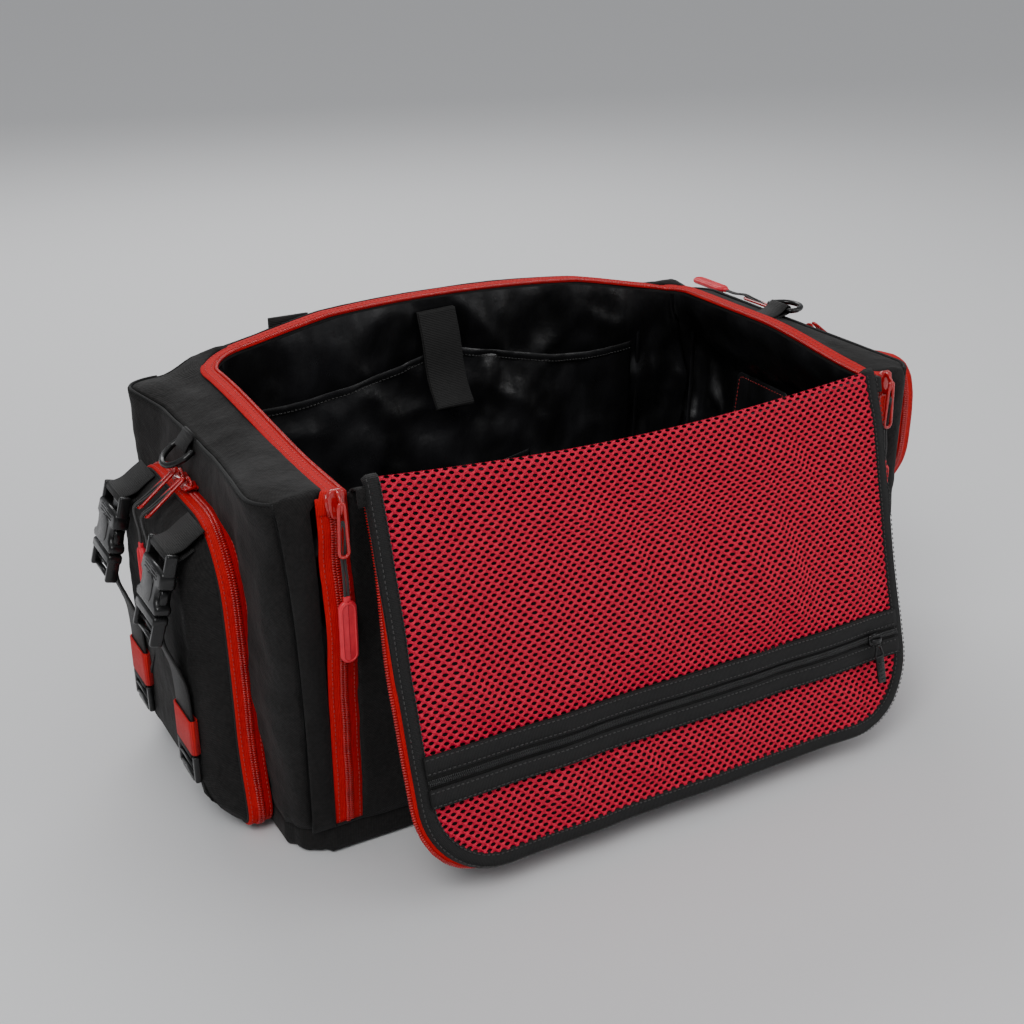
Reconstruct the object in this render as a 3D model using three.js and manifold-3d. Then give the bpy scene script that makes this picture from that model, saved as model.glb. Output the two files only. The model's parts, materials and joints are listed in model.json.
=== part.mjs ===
// Gym duffel bag with a wide zipped mouth, a fold-down lid and a strapped pocket on each end.
// Millimetres. +X runs along the bag, -Y is the front that the lid hangs over, +Z is up.
// The origin is the middle of the underside of the base.
import * as THREE from 'three';
import { mergeVertices } from 'three/addons/utils/BufferGeometryUtils.js';
import Module from 'manifold-3d';

const wasm = await Module();
wasm.setup();

// Driving dimensions: body
const BODY_LENGTH = 590;
const BODY_DEPTH = 306;
const BODY_HEIGHT = 300;
const BODY_CORNER = 25;
const WALL = 4;
const GAP = 0.3;
const BASE_WRAP = 25;
const RIM_RISE = 28;
const RIM_HALF_SPAN = 215;

// Driving dimensions: mouth, zips and lining
const MOUTH_HALF_LENGTH = 256;
const MOUTH_CORNER = 45;
const TAPE_WIDTH = 15;
const TAPE_THICKNESS = 3;
const FRONT_ZIP_WIDTH = 24;
const FRONT_ZIP_THICKNESS = 3.5;
const CORNER_SEAM_FRONT = 12;
const CORNER_SEAM_BACK = 25;
const LINING_THICKNESS = 1.2;
const BOARD_THICKNESS = 2.5;

// Driving dimensions: lid, which hangs from a fold along the top of the front
const LID_HALF_WIDTH = 238;
const LID_LENGTH = 302;
const LID_CORNER = 68;
const LID_HANG_DEGREES = 17;
const LID_PIVOT_Y = -165;
const LID_PIVOT_Z = 306;
const LID_TAPE_WIDTH = 7;
const LID_BINDING_WIDTH = 13;
const LID_STRIP_OFFSET = 218;
const LID_STRIP_WIDTH = 40;
const LID_SLIDER_X = 196;

// Driving dimensions: webbing, rings, pulls and buckles
const WEBBING = 38;
const HANDLE_ARM_X = 157;
const HANDLE_PIVOT_Z = 313;
const HANDLE_DROP = 124;
const RING_BAR_RADIUS = 2.6;
const RING_WIDTH = 36;
const RING_DEPTH = 24;
const MAIN_SLIDER_X = 252;
const HOOK_LENGTH = 42;
const HOOK_WIDTH = 10;
const HOOK_WIRE = 2.8;
const CORD_LENGTH = 32;
const TAB_LENGTH = 50;
const TAB_WIDTH = 14;
const TAB_THICKNESS = 5;
const BUCKLE_WIDTH = 48;
const BUCKLE_THICKNESS = 13;
const SOCKET_LENGTH = 45;
const PLUG_LENGTH = 24;
const BUCKLE_TILT_DEGREES = 16;

// Driving dimensions: end pockets, the same on both ends except for how high they sit
const POCKET_CENTRE_Y = 12;
const POCKET_HALF_WIDTH = 104;
const POCKET_DEPTH = 44;
const POCKET_BAND = 20;
const POCKET_CORNER = 55;
const POCKET_FOOT = 6;
const STRAP_SPACING = 60;
const ENDS = [
  {
    side: 'left',
    outward: -1,
    pocketTop: 257,
    ring: { y: 20, x: 6, z: 285.5, flat: false, lift: 60 },
    sliders: [{ name: 'a', y: 22, along: false }, { name: 'b', y: 2, along: false }],
  },
  {
    side: 'right',
    outward: 1,
    pocketTop: 288,
    ring: { y: 30, x: -0.5, z: 308, flat: true, lift: 90 },
    sliders: [{ name: 'a', y: 56, along: true }, { name: 'b', y: -2, along: false }],
  },
];

const HALF_LENGTH = BODY_LENGTH / 2;
const HALF_DEPTH = BODY_DEPTH / 2;
const PANEL_TOP = BODY_HEIGHT - WALL;

const FINISH = {
  cordura: { color: 0x1f1d1e, roughness: 0.85, metalness: 0 },
  lining: { color: 0x101012, roughness: 0.4, metalness: 0 },
  webbing: { color: 0x17171a, roughness: 0.7, metalness: 0 },
  redTape: { color: 0xb81d1f, roughness: 0.65, metalness: 0 },
  redMesh: { color: 0xc42a44, roughness: 0.7, metalness: 0 },
  redRubber: { color: 0xc52c33, roughness: 0.5, metalness: 0 },
  redMetal: { color: 0xd02a24, roughness: 0.3, metalness: 0.2 },
  blackPlastic: { color: 0x0d0d0f, roughness: 0.35, metalness: 0 },
  board: { color: 0x2a2a2c, roughness: 0.6, metalness: 0 },
};

const bag = new THREE.Group();

// --- Solids -----------------------------------------------------------------------------------

function solidOf(geometry) {
  const bare = geometry.clone();
  bare.deleteAttribute('normal');
  bare.deleteAttribute('uv');
  const merged = mergeVertices(bare, 1e-4);
  return new wasm.Manifold(new wasm.Mesh({
    numProp: 3,
    vertProperties: new Float32Array(merged.attributes.position.array),
    triVerts: new Uint32Array(merged.index.array),
  }));
}

function geometryOf(solid) {
  const mesh = solid.getMesh();
  const geometry = new THREE.BufferGeometry();
  geometry.setAttribute('position', new THREE.BufferAttribute(mesh.vertProperties, 3));
  geometry.setIndex(new THREE.BufferAttribute(mesh.triVerts, 1));
  geometry.computeVertexNormals();
  return geometry;
}

// Extrudes a shape between two places on an axis. The shape is drawn in the other two axes,
// in X, Y, Z order. A quarter circle gets twice as many straight steps as smoothness says.
function slab(shape, axis, from, to, smoothness = 2) {
  const geometry = new THREE.ExtrudeGeometry(shape, {
    depth: to - from,
    bevelEnabled: false,
    curveSegments: smoothness,
  });
  const x = new THREE.Vector3(1, 0, 0);
  const y = new THREE.Vector3(0, 1, 0);
  const z = new THREE.Vector3(0, 0, 1);
  const turn = new THREE.Matrix4();
  if (axis === 'x') {
    turn.makeBasis(y, z, x).setPosition(from, 0, 0);
  } else if (axis === 'y') {
    turn.makeBasis(x, z, y.clone().negate()).setPosition(0, to, 0);
  } else {
    turn.setPosition(0, 0, from);
  }
  return solidOf(geometry.applyMatrix4(turn));
}

function box(low, high) {
  const size = high.map((value, i) => value - low[i]);
  const geometry = new THREE.BoxGeometry(...size);
  geometry.translate(...low.map((value, i) => value + size[i] / 2));
  return solidOf(geometry);
}

// A cylinder along Y, centred on (x, z).
function rodAlongY(radius, x, z, yFrom, yTo, sides = 12) {
  const geometry = new THREE.CylinderGeometry(radius, radius, yTo - yFrom, sides);
  geometry.translate(x, (yFrom + yTo) / 2, z);
  return solidOf(geometry);
}

function joined(...solids) {
  return solids.reduce((sum, solid) => sum.add(solid));
}

function turned(solid, axis, degrees, pivot) {
  const [x, y, z] = pivot;
  const turn = new THREE.Matrix4().makeTranslation(x, y, z);
  turn.multiply(new THREE.Matrix4().makeRotationAxis(axis, THREE.MathUtils.degToRad(degrees)));
  turn.multiply(new THREE.Matrix4().makeTranslation(-x, -y, -z));
  return solidOf(geometryOf(solid).applyMatrix4(turn));
}

function addNode(name, solid, finish, parent = bag) {
  const mesh = new THREE.Mesh(geometryOf(solid), new THREE.MeshStandardMaterial(FINISH[finish]));
  mesh.name = name;
  parent.add(mesh);
}

// --- Outlines ---------------------------------------------------------------------------------

// A rectangle whose corners are rounded: lower pair and upper pair can differ, and 0 is square.
function roundedRectangle(left, bottom, right, top, lowRadius, highRadius = lowRadius) {
  const shape = new THREE.Shape();
  const quarter = Math.PI / 2;
  const corner = (x, y, radius, start) => {
    if (radius > 0) {
      shape.absarc(x, y, radius, start, start + quarter, false);
    } else {
      shape.lineTo(x, y);
    }
  };
  shape.moveTo(left + lowRadius, bottom);
  corner(right - lowRadius, bottom + lowRadius, lowRadius, -quarter);
  corner(right - highRadius, top - highRadius, highRadius, 0);
  corner(left + highRadius, top - highRadius, highRadius, quarter);
  corner(left + lowRadius, bottom + lowRadius, lowRadius, 2 * quarter);
  return shape;
}

function bodyOutline(inset) {
  const radius = BODY_CORNER - inset;
  return roundedRectangle(
    -HALF_LENGTH + inset, -HALF_DEPTH + inset, HALF_LENGTH - inset, HALF_DEPTH - inset, radius);
}

// The mouth in plan: square at the front, where the lid folds, and rounded at the back.
function mouthOutline(inset) {
  const back = HALF_DEPTH - WALL - GAP - inset;
  const side = MOUTH_HALF_LENGTH - inset;
  return roundedRectangle(-side, -HALF_DEPTH - 10, side, back, 0, MOUTH_CORNER - inset);
}

// The top edge of the back stands in a low arch.
function rimHeight(x) {
  if (Math.abs(x) >= RIM_HALF_SPAN) {
    return BODY_HEIGHT;
  }
  return BODY_HEIGHT + RIM_RISE * Math.cos((Math.PI * x) / (2 * RIM_HALF_SPAN)) ** 1.4;
}

// Everything between two heights below or above the rim, as an outline in X and Z.
function rimOutline(halfLength, bottomAt, raise) {
  const steps = 16;
  const rim = [];
  for (let i = 0; i <= steps; i += 1) {
    const x = RIM_HALF_SPAN * ((2 * i) / steps - 1);
    rim.push(new THREE.Vector2(x, rimHeight(x)));
  }
  rim.unshift(new THREE.Vector2(-halfLength, BODY_HEIGHT));
  rim.push(new THREE.Vector2(halfLength, BODY_HEIGHT));
  const top = rim.map((point) => new THREE.Vector2(point.x, point.y + raise));
  const bottom = rim.map((point) => new THREE.Vector2(point.x, bottomAt(point.y)));
  return new THREE.Shape([...bottom, ...top.reverse()]);
}

function lidOutline(inset) {
  const side = LID_HALF_WIDTH - inset;
  return roundedRectangle(-side, -LID_LENGTH + inset, side, -2, LID_CORNER - inset, 0);
}

// --- Body -------------------------------------------------------------------------------------

function addBody() {
  const base = slab(bodyOutline(0), 'z', 0, BASE_WRAP)
    .subtract(slab(bodyOutline(WALL), 'z', WALL, BASE_WRAP + 1));
  addNode('base_panel', base, 'cordura');

  const boardBottom = WALL + GAP;
  const board = slab(bodyOutline(WALL + 0.6), 'z', boardBottom, boardBottom + BOARD_THICKNESS);
  addNode('base_board', board, 'board');

  const wallBottom = BASE_WRAP + GAP;
  const ring = slab(bodyOutline(0), 'z', wallBottom, BODY_HEIGHT)
    .subtract(slab(bodyOutline(WALL), 'z', wallBottom - 1, BODY_HEIGHT + 1));
  const frontSeam = HALF_LENGTH - CORNER_SEAM_FRONT;
  const backSeam = HALF_LENGTH - CORNER_SEAM_BACK;
  const zipOuter = MAIN_SLIDER_X + FRONT_ZIP_WIDTH / 2;
  const zipInner = MAIN_SLIDER_X - FRONT_ZIP_WIDTH / 2;
  const far = HALF_LENGTH + 10;
  const high = BODY_HEIGHT + 50;

  const frontBlock = box([-zipInner + GAP, -far, 0], [zipInner - GAP, 0, high]);
  addNode('front_panel', ring.intersect(frontBlock), 'cordura');

  const risers = [-1, 1].map((side) => box(
    [side * HANDLE_ARM_X - WEBBING / 2, HALF_DEPTH - 1, 60],
    [side * HANDLE_ARM_X + WEBBING / 2, HALF_DEPTH + 3, HANDLE_PIVOT_Z - 3]));
  const backShape = rimOutline(backSeam - GAP, () => wallBottom, 0);
  const back = slab(backShape, 'y', HALF_DEPTH - WALL, HALF_DEPTH);
  addNode('back_panel', joined(back, ...risers), 'cordura');

  for (const { side, outward } of ENDS) {
    const between = (from, to, yLow, yHigh) => {
      const [low, high2] = [outward * from, outward * to].sort((a, b) => a - b);
      return box([low, yLow, 0], [high2, yHigh, high]);
    };
    const end = joined(between(frontSeam + GAP, far, -far, 1), between(backSeam, far, 0, far));
    addNode(`${side}_end_panel`, ring.intersect(end), 'cordura');

    const frontStrip = ring.intersect(between(zipOuter + GAP, frontSeam, -far, 0));
    const topPlate = slab(bodyOutline(WALL + GAP), 'z', PANEL_TOP, BODY_HEIGHT)
      .intersect(between(0, far, -far, far))
      .subtract(slab(mouthOutline(0), 'z', PANEL_TOP - 1, BODY_HEIGHT + 1));
    const link = between(zipOuter + GAP, frontSeam - 8, -HALF_DEPTH + 1, -HALF_DEPTH + WALL + 1)
      .intersect(box([-far, -far, PANEL_TOP], [far, far, BODY_HEIGHT]));
    addNode(`${side}_shoulder_panel`, joined(frontStrip, topPlate, link), 'cordura');

    const zipFace = -HALF_DEPTH - 1.5;
    const frontZip = between(zipInner, zipOuter, zipFace, zipFace + FRONT_ZIP_THICKNESS)
      .intersect(box([-far, -far, wallBottom], [far, far, BODY_HEIGHT]));
    addNode(`front_zip_${side}`, frontZip, 'redTape');
  }

  const tapeBand = slab(mouthOutline(GAP), 'z', PANEL_TOP, high)
    .subtract(slab(mouthOutline(TAPE_WIDTH), 'z', PANEL_TOP - 1, high + 1))
    .intersect(box([-far, -HALF_DEPTH + WALL + 1, 0], [far, far, high]));
  const tapeLayer = slab(
    rimOutline(far, (rim) => rim - TAPE_THICKNESS, 0), 'y', -far, far);
  addNode('main_zip_tape', tapeBand.intersect(tapeLayer), 'redTape');
}

function addInterior() {
  const bottom = WALL + GAP + BOARD_THICKNESS + GAP;
  const outer = WALL + 0.4;
  const inner = outer + LINING_THICKNESS;
  const lining = slab(bodyOutline(outer), 'z', bottom, PANEL_TOP - GAP)
    .subtract(slab(bodyOutline(inner), 'z', bottom + LINING_THICKNESS, PANEL_TOP + 1));
  addNode('lining', lining, 'lining');

  const pocketFace = HALF_DEPTH - inner - GAP;
  const pockets = new THREE.Shape();
  pockets.moveTo(-209, 30);
  pockets.lineTo(191, 30);
  pockets.lineTo(191, 285);
  pockets.lineTo(-28, 278);
  pockets.lineTo(-30, 273);
  pockets.lineTo(-209, 280);
  pockets.closePath();
  const pocketPanel = slab(pockets, 'y', pocketFace - LINING_THICKNESS, pocketFace);
  addNode('inner_pockets', pocketPanel, 'lining');

  const strapFace = pocketFace - LINING_THICKNESS - GAP;
  const strapLeft = -45;
  const strapTop = rimHeight(strapLeft) - TAPE_THICKNESS - 1;
  const strap = box([strapLeft, strapFace - 3, 245], [strapLeft + WEBBING, strapFace, strapTop]);
  addNode('inner_strap', strap, 'webbing');
}

function addBackHandle() {
  const face = HALF_DEPTH + 3 + 1.3;
  const thickness = 4;
  const outer = HANDLE_ARM_X + WEBBING / 2;
  const inner = HANDLE_ARM_X - WEBBING / 2;
  const top = HANDLE_PIVOT_Z + 2;
  const bottom = HANDLE_PIVOT_Z - HANDLE_DROP;
  const grip = 30;
  const around = roundedRectangle(-outer, bottom, outer, top, 60, 0);
  const within = roundedRectangle(-inner, bottom + grip, inner, top + 10, 40, 0);
  const loop = slab(around, 'y', face, face + thickness)
    .subtract(slab(within, 'y', face - 1, face + thickness + 1));
  const wrap = slab(roundedRectangle(-62, bottom - 1, 62, bottom + grip + 1, 8), 'y',
    face - 0.9, face + thickness + 6);
  addNode('back_handle', joined(loop, wrap), 'webbing');
}

// --- Lid --------------------------------------------------------------------------------------

// A slider with its bridge, drawn with its face towards -Y and its middle at the origin.
function sliderSolid(width, length, thickness) {
  const body = slab(roundedRectangle(-width / 2, -length / 2, width / 2, length / 2, 3), 'y',
    -thickness, 0);
  const bridge = box([-2, -thickness - 3, -length / 2 + 3], [2, -thickness + 1, length / 2 - 3]);
  return joined(body, bridge);
}

function addLid() {
  const lid = new THREE.Group();
  lid.position.set(0, LID_PIVOT_Y, LID_PIVOT_Z);
  lid.rotation.x = THREE.MathUtils.degToRad(-LID_HANG_DEGREES);
  bag.add(lid);

  const clothInset = LID_TAPE_WIDTH + LID_BINDING_WIDTH + GAP;
  addNode('lid_panel', slab(lidOutline(clothInset), 'y', 0, 3), 'cordura', lid);
  addNode('lid_mesh', slab(lidOutline(clothInset), 'y', -4, -1.5), 'redMesh', lid);

  const binding = slab(lidOutline(LID_TAPE_WIDTH + GAP), 'y', -4.6, 3.4)
    .subtract(slab(lidOutline(clothInset - GAP), 'y', -5, 4)
      .add(box([-LID_HALF_WIDTH + clothInset - GAP, -5, -40],
        [LID_HALF_WIDTH - clothInset + GAP, 4, 0])));
  addNode('lid_binding', binding, 'webbing', lid);

  const tape = slab(lidOutline(0), 'y', -1.5, 1)
    .subtract(slab(lidOutline(LID_TAPE_WIDTH), 'y', -2, 2)
      .add(box([-LID_HALF_WIDTH + LID_TAPE_WIDTH, -2, -40],
        [LID_HALF_WIDTH - LID_TAPE_WIDTH, 2, 0])));
  addNode('lid_zip_tape', tape, 'redTape', lid);

  const stripLow = -LID_STRIP_OFFSET - LID_STRIP_WIDTH / 2;
  const strip = slab(lidOutline(clothInset + GAP), 'y', -6.3, -4.3)
    .intersect(box([-LID_HALF_WIDTH, -7, stripLow], [LID_HALF_WIDTH, 0, stripLow + LID_STRIP_WIDTH]));
  addNode('lid_pocket_zip', strip, 'webbing', lid);

  const sliderGroup = new THREE.Group();
  sliderGroup.position.set(LID_SLIDER_X, -6.6, -LID_STRIP_OFFSET);
  lid.add(sliderGroup);
  const slider = turned(sliderSolid(9, 14, 4), new THREE.Vector3(0, 1, 0), 90, [0, 0, 0]);
  addNode('lid_pocket_slider', slider, 'blackPlastic', sliderGroup);
  const ringOutline = roundedRectangle(-5, -16, 5, -5.5, 4);
  const ringHole = roundedRectangle(-3, -13.5, 3, -8, 2);
  const pull = slab(ringOutline, 'y', -6.4, -4.4)
    .subtract(slab(ringHole, 'y', -7, -4))
    .add(slab(roundedRectangle(-4.5, -38, 4.5, -15, 3), 'y', -6.9, -3.9));
  addNode('lid_pocket_pull', pull, 'blackPlastic', sliderGroup);
}

// --- Zip pulls --------------------------------------------------------------------------------

// A bent-wire hook that hangs from the origin down -Z, in the X and Z plane.
function hookSolid() {
  const half = HOOK_WIDTH / 2;
  const outer = roundedRectangle(-half, -HOOK_LENGTH, half, 1.5, half - 0.1);
  const wire = HOOK_WIRE;
  const inner = roundedRectangle(-half + wire, -HOOK_LENGTH + wire, half - wire, 1.5 - wire,
    half - wire - 0.1);
  const ring = slab(outer, 'y', -wire / 2, wire / 2);
  return ring.subtract(slab(inner, 'y', -wire, wire));
}

// The cord and its rubber tab, hanging from a place on the plane of the hook.
function cordAndTab(top, towardsY = 0) {
  const cordBottom = top - CORD_LENGTH;
  const cord = box([-1.8, towardsY - 1.3, cordBottom - 2], [1.8, towardsY + 1.3, top]);
  const tabBottom = cordBottom - TAB_LENGTH;
  const outline = roundedRectangle(-TAB_WIDTH / 2, tabBottom, TAB_WIDTH / 2, cordBottom,
    TAB_WIDTH / 2 - 1.5);
  const tab = slab(outline, 'y', towardsY - TAB_THICKNESS / 2, towardsY + TAB_THICKNESS / 2);
  return joined(cord, tab);
}

function addMainPulls() {
  for (const { side, outward } of ENDS) {
    const place = new THREE.Group();
    place.position.set(outward * MAIN_SLIDER_X, -HALF_DEPTH - 1.8, BODY_HEIGHT - 5);
    bag.add(place);
    addNode(`${side}_main_slider`, sliderSolid(14, 22, 7), 'redMetal', place);
    const pull = new THREE.Group();
    pull.position.set(0, -13, 2);
    place.add(pull);
    addNode(`${side}_main_hook`, hookSolid(), 'redMetal', pull);
    addNode(`${side}_main_tab`, cordAndTab(-HOOK_LENGTH - GAP), 'redRubber', pull);
  }
}

// --- End pockets ------------------------------------------------------------------------------

// The groups below stand on an end face: their +X points out of the bag, and their Y is
// measured from the middle of the pocket.
function pocketOutline(inset, top) {
  const side = POCKET_HALF_WIDTH - inset;
  return roundedRectangle(-side, POCKET_FOOT + inset, side, top - inset, 24, POCKET_CORNER - inset);
}

function pocketSolid(top) {
  const bandInset = 3 + GAP;
  const rounding = 26;
  const face = new THREE.ExtrudeGeometry(pocketOutline(bandInset + rounding, top), {
    depth: POCKET_BAND,
    bevelEnabled: true,
    bevelThickness: POCKET_DEPTH - POCKET_BAND,
    bevelSize: rounding,
    bevelSegments: 1,
    curveSegments: 3,
  });
  const turn = new THREE.Matrix4().makeBasis(
    new THREE.Vector3(0, 1, 0), new THREE.Vector3(0, 0, 1), new THREE.Vector3(1, 0, 0));
  const withinBand = slab(pocketOutline(bandInset, top), 'x', GAP, 2 * POCKET_DEPTH, 3);
  return solidOf(face.applyMatrix4(turn)).intersect(withinBand);
}

// The webbing loop that holds a buckle's socket, standing out of the pocket below its top.
function bucklePivot(top) {
  return { x: POCKET_DEPTH + 6, z: top - 21 };
}

function addPocket(end, place) {
  const { side, pocketTop } = end;
  const pivot = bucklePivot(pocketTop);
  const loops = [-1, 1].map((row) => {
    const y = row * STRAP_SPACING;
    const eye = rodAlongY(4.2, pivot.x, pivot.z, y - WEBBING / 2, y + WEBBING / 2);
    const stem = box([POCKET_DEPTH - 14, y - WEBBING / 2, pivot.z - 1.2],
      [pivot.x - 3, y + WEBBING / 2, pivot.z + 1.2]);
    return joined(eye, stem);
  });
  const holes = [-1, 1].map((row) => rodAlongY(
    2.6, pivot.x, pivot.z, row * STRAP_SPACING - 30, row * STRAP_SPACING + 30));
  const pocket = joined(pocketSolid(pocketTop), ...loops).subtract(joined(...holes));
  addNode(`${side}_pocket`, pocket, 'cordura', place);

  const arch = slab(pocketOutline(0, pocketTop), 'x', 1, POCKET_BAND, 3)
    .subtract(slab(pocketOutline(3, pocketTop), 'x', 0, POCKET_BAND + 1, 3))
    .intersect(box([-1, -200, 30], [100, 200, 400]));
  addNode(`${side}_pocket_zip`, arch, 'redTape', place);
}

function addPocketPulls(end, place) {
  const up = new THREE.Vector3(0, 0, 1);
  const hookTilt = 52;
  for (const { name, y, along } of end.sliders) {
    const rider = new THREE.Group();
    const localY = end.outward * (y - POCKET_CENTRE_Y);
    rider.position.set(POCKET_BAND / 2 + 1, localY, end.pocketTop + GAP);
    place.add(rider);
    const lying = turned(sliderSolid(12, 14, 6), new THREE.Vector3(1, 0, 0), -90, [0, 0, 0]);
    addNode(`${end.side}_pocket_slider_${name}`, lying, 'redMetal', rider);

    const pullNode = new THREE.Group();
    rider.add(pullNode);
    let pull;
    if (along) {
      pullNode.position.set(0, 0, 11.5);
      pull = joined(hookSolid(), cordAndTab(-HOOK_LENGTH + HOOK_WIRE / 2));
      pullNode.rotation.x = THREE.MathUtils.degToRad(90);
    } else {
      pullNode.position.set(5.4, 0, 9);
      const hook = turned(hookSolid(), up, 90, [0, 0, 0]);
      const tilted = turned(hook, new THREE.Vector3(0, 1, 0), -hookTilt, [0, 0, 0]);
      const reach = (HOOK_LENGTH - HOOK_WIRE / 2);
      const slope = THREE.MathUtils.degToRad(hookTilt);
      const hanging = turned(cordAndTab(-reach * Math.cos(slope)), up, 90, [0, 0, 0]);
      pull = joined(tilted, hanging.translate([reach * Math.sin(slope), 0, 0]));
    }
    addNode(`${end.side}_pocket_pull_${name}`, pull, 'redRubber', pullNode);
  }
}

// --- Compression straps -----------------------------------------------------------------------

function addStrap(end, place, row) {
  const word = row * end.outward > 0 ? 'back' : 'front';
  const name = `${end.side}_${word}`;
  const group = new THREE.Group();
  group.position.y = row * STRAP_SPACING;
  place.add(group);
  const half = BUCKLE_WIDTH / 2;
  const web = WEBBING / 2;
  const pivot = bucklePivot(end.pocketTop);
  const lower = end.pocketTop - 257;

  const buckle = new THREE.Group();
  buckle.position.set(pivot.x, 0, pivot.z);
  buckle.rotation.y = THREE.MathUtils.degToRad(-BUCKLE_TILT_DEGREES);
  group.add(buckle);
  const deep = BUCKLE_THICKNESS / 2;
  const frame = slab(roundedRectangle(-half, -SOCKET_LENGTH, half, 4, 2, 5), 'x', -deep, deep);
  const slot = box([-deep - 1, -web - 1, -6.5], [deep + 1, web + 1, -1.6])
    .add(box([-deep - 1, -web - 1, -1.6], [-2, web + 1, 1.6]));
  const eyeRoom = box([-deep - 1, -web - 1, -6.5], [deep + 1, web + 1, 6]);
  const bar = rodAlongY(2, 0, 0, -half + 1, half - 1);
  const cavity = box([-4, -19, -SOCKET_LENGTH - 1], [4, 19, -12]);
  const windows = box([-3, -half - 1, -36], [3, half + 1, -24]);
  const socket = frame.subtract(joined(slot, eyeRoom)).subtract(cavity).subtract(windows).add(bar);
  addNode(`${name}_buckle_socket`, socket, 'blackPlastic', buckle);

  const plugTop = -SOCKET_LENGTH - GAP;
  const grip = slab(
    roundedRectangle(-half + 1, plugTop - PLUG_LENGTH, half - 1, plugTop, 5, 2), 'x',
    -deep + 0.5, deep - 0.5);
  const plugSlots = box([-deep, -web - 1, plugTop - 13], [deep, web + 1, plugTop - 8])
    .add(box([-deep, -web - 1, plugTop - 20], [deep, web + 1, plugTop - 16]));
  const tongues = [-1, 0, 1].map((part) => box(
    [-3, part * 13 - 4, plugTop - 2], [3, part * 13 + 4, -14]));
  addNode(`${name}_buckle_plug`, joined(grip.subtract(plugSlots), ...tongues), 'blackPlastic',
    buckle);

  const strapTop = 146 + lower;
  const keeperTop = 97 + lower;
  const keeperLow = 66 + lower;
  const face = POCKET_DEPTH + GAP;
  const webbing = box([face, -web, keeperLow], [face + 2.3, web, strapTop]);
  const keeper = box([face, -web - 1.5, keeperLow], [face + 4.5, web + 1.5, keeperTop]);
  addNode(`${name}_strap`, joined(webbing, keeper), 'webbing', group);

  const lockTop = keeperLow - 1.5;
  const lock = slab(roundedRectangle(-21, lockTop - 24, 21, lockTop, 3), 'x', face, face + 6)
    .subtract(box([face - 1, -16, lockTop - 8], [face + 7, 16, lockTop - 4.5]))
    .subtract(box([face - 1, -16, lockTop - 18], [face + 7, 16, lockTop - 14.5]));
  addNode(`${name}_ladder_lock`, lock, 'blackPlastic', group);
}

// --- D-rings ----------------------------------------------------------------------------------

function addRing(end, place) {
  const { ring, side, outward } = end;
  const y = outward * (ring.y - POCKET_CENTRE_Y);
  const tabHalf = 12;
  const eye = rodAlongY(5.4, ring.x, ring.z, y - tabHalf, y + tabHalf);
  const hole = rodAlongY(3.2, ring.x, ring.z, y - 20, y + 20);
  const plate = ring.flat
    ? box([-22, y - tabHalf, BODY_HEIGHT + GAP], [ring.x, y + tabHalf, BODY_HEIGHT + 3.6])
    : box([GAP, y - tabHalf, ring.z], [3, y + tabHalf, ring.z + 12]);
  const clear = ring.flat
    ? box([-30, -200, 0], [GAP, 200, BODY_HEIGHT + GAP])
    : box([-30, -200, 0], [GAP, 200, 400]);
  const tab = joined(plate, eye).subtract(hole).subtract(clear);
  addNode(`${side}_ring_tab`, tab, 'webbing', place);

  const half = RING_WIDTH / 2 - RING_BAR_RADIUS;
  const drop = RING_DEPTH - RING_BAR_RADIUS;
  const at = (across, down) => new THREE.Vector3(0, across, -down);
  const bow = new THREE.CubicBezierCurve3(
    at(half, 0), at(half, drop * 1.33), at(-half, drop * 1.33), at(-half, 0));
  const section = new THREE.Shape();
  section.absarc(0, 0, RING_BAR_RADIUS, 0, 2 * Math.PI, false);
  const arc = new THREE.ExtrudeGeometry(section, {
    steps: 12,
    curveSegments: 3,
    extrudePath: bow,
    bevelEnabled: false,
  });
  const bar = rodAlongY(RING_BAR_RADIUS, 0, 0, -half - 2, half + 2, 8);
  const holder = new THREE.Group();
  holder.position.set(ring.x, y, ring.z);
  holder.rotation.y = THREE.MathUtils.degToRad(-ring.lift);
  place.add(holder);
  addNode(`${side}_ring`, joined(solidOf(arc), bar), 'blackPlastic', holder);
}

function addEnd(end) {
  const place = new THREE.Group();
  place.position.set(end.outward * HALF_LENGTH, POCKET_CENTRE_Y, 0);
  place.rotation.z = end.outward > 0 ? 0 : Math.PI;
  bag.add(place);
  addPocket(end, place);
  addPocketPulls(end, place);
  addStrap(end, place, -1);
  addStrap(end, place, 1);
  addRing(end, place);
}

addBody();
addInterior();
addBackHandle();
addLid();
addMainPulls();
ENDS.forEach(addEnd);

export default bag;
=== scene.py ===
"""Looks of the duffel bag: soft panels, lining, zips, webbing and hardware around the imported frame.

Everything is in metres, in the frame's own axes: +X along the bag, -Y the front, +Z up.
"""
import json
import math

import bpy
import numpy as np
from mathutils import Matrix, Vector, noise


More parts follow.
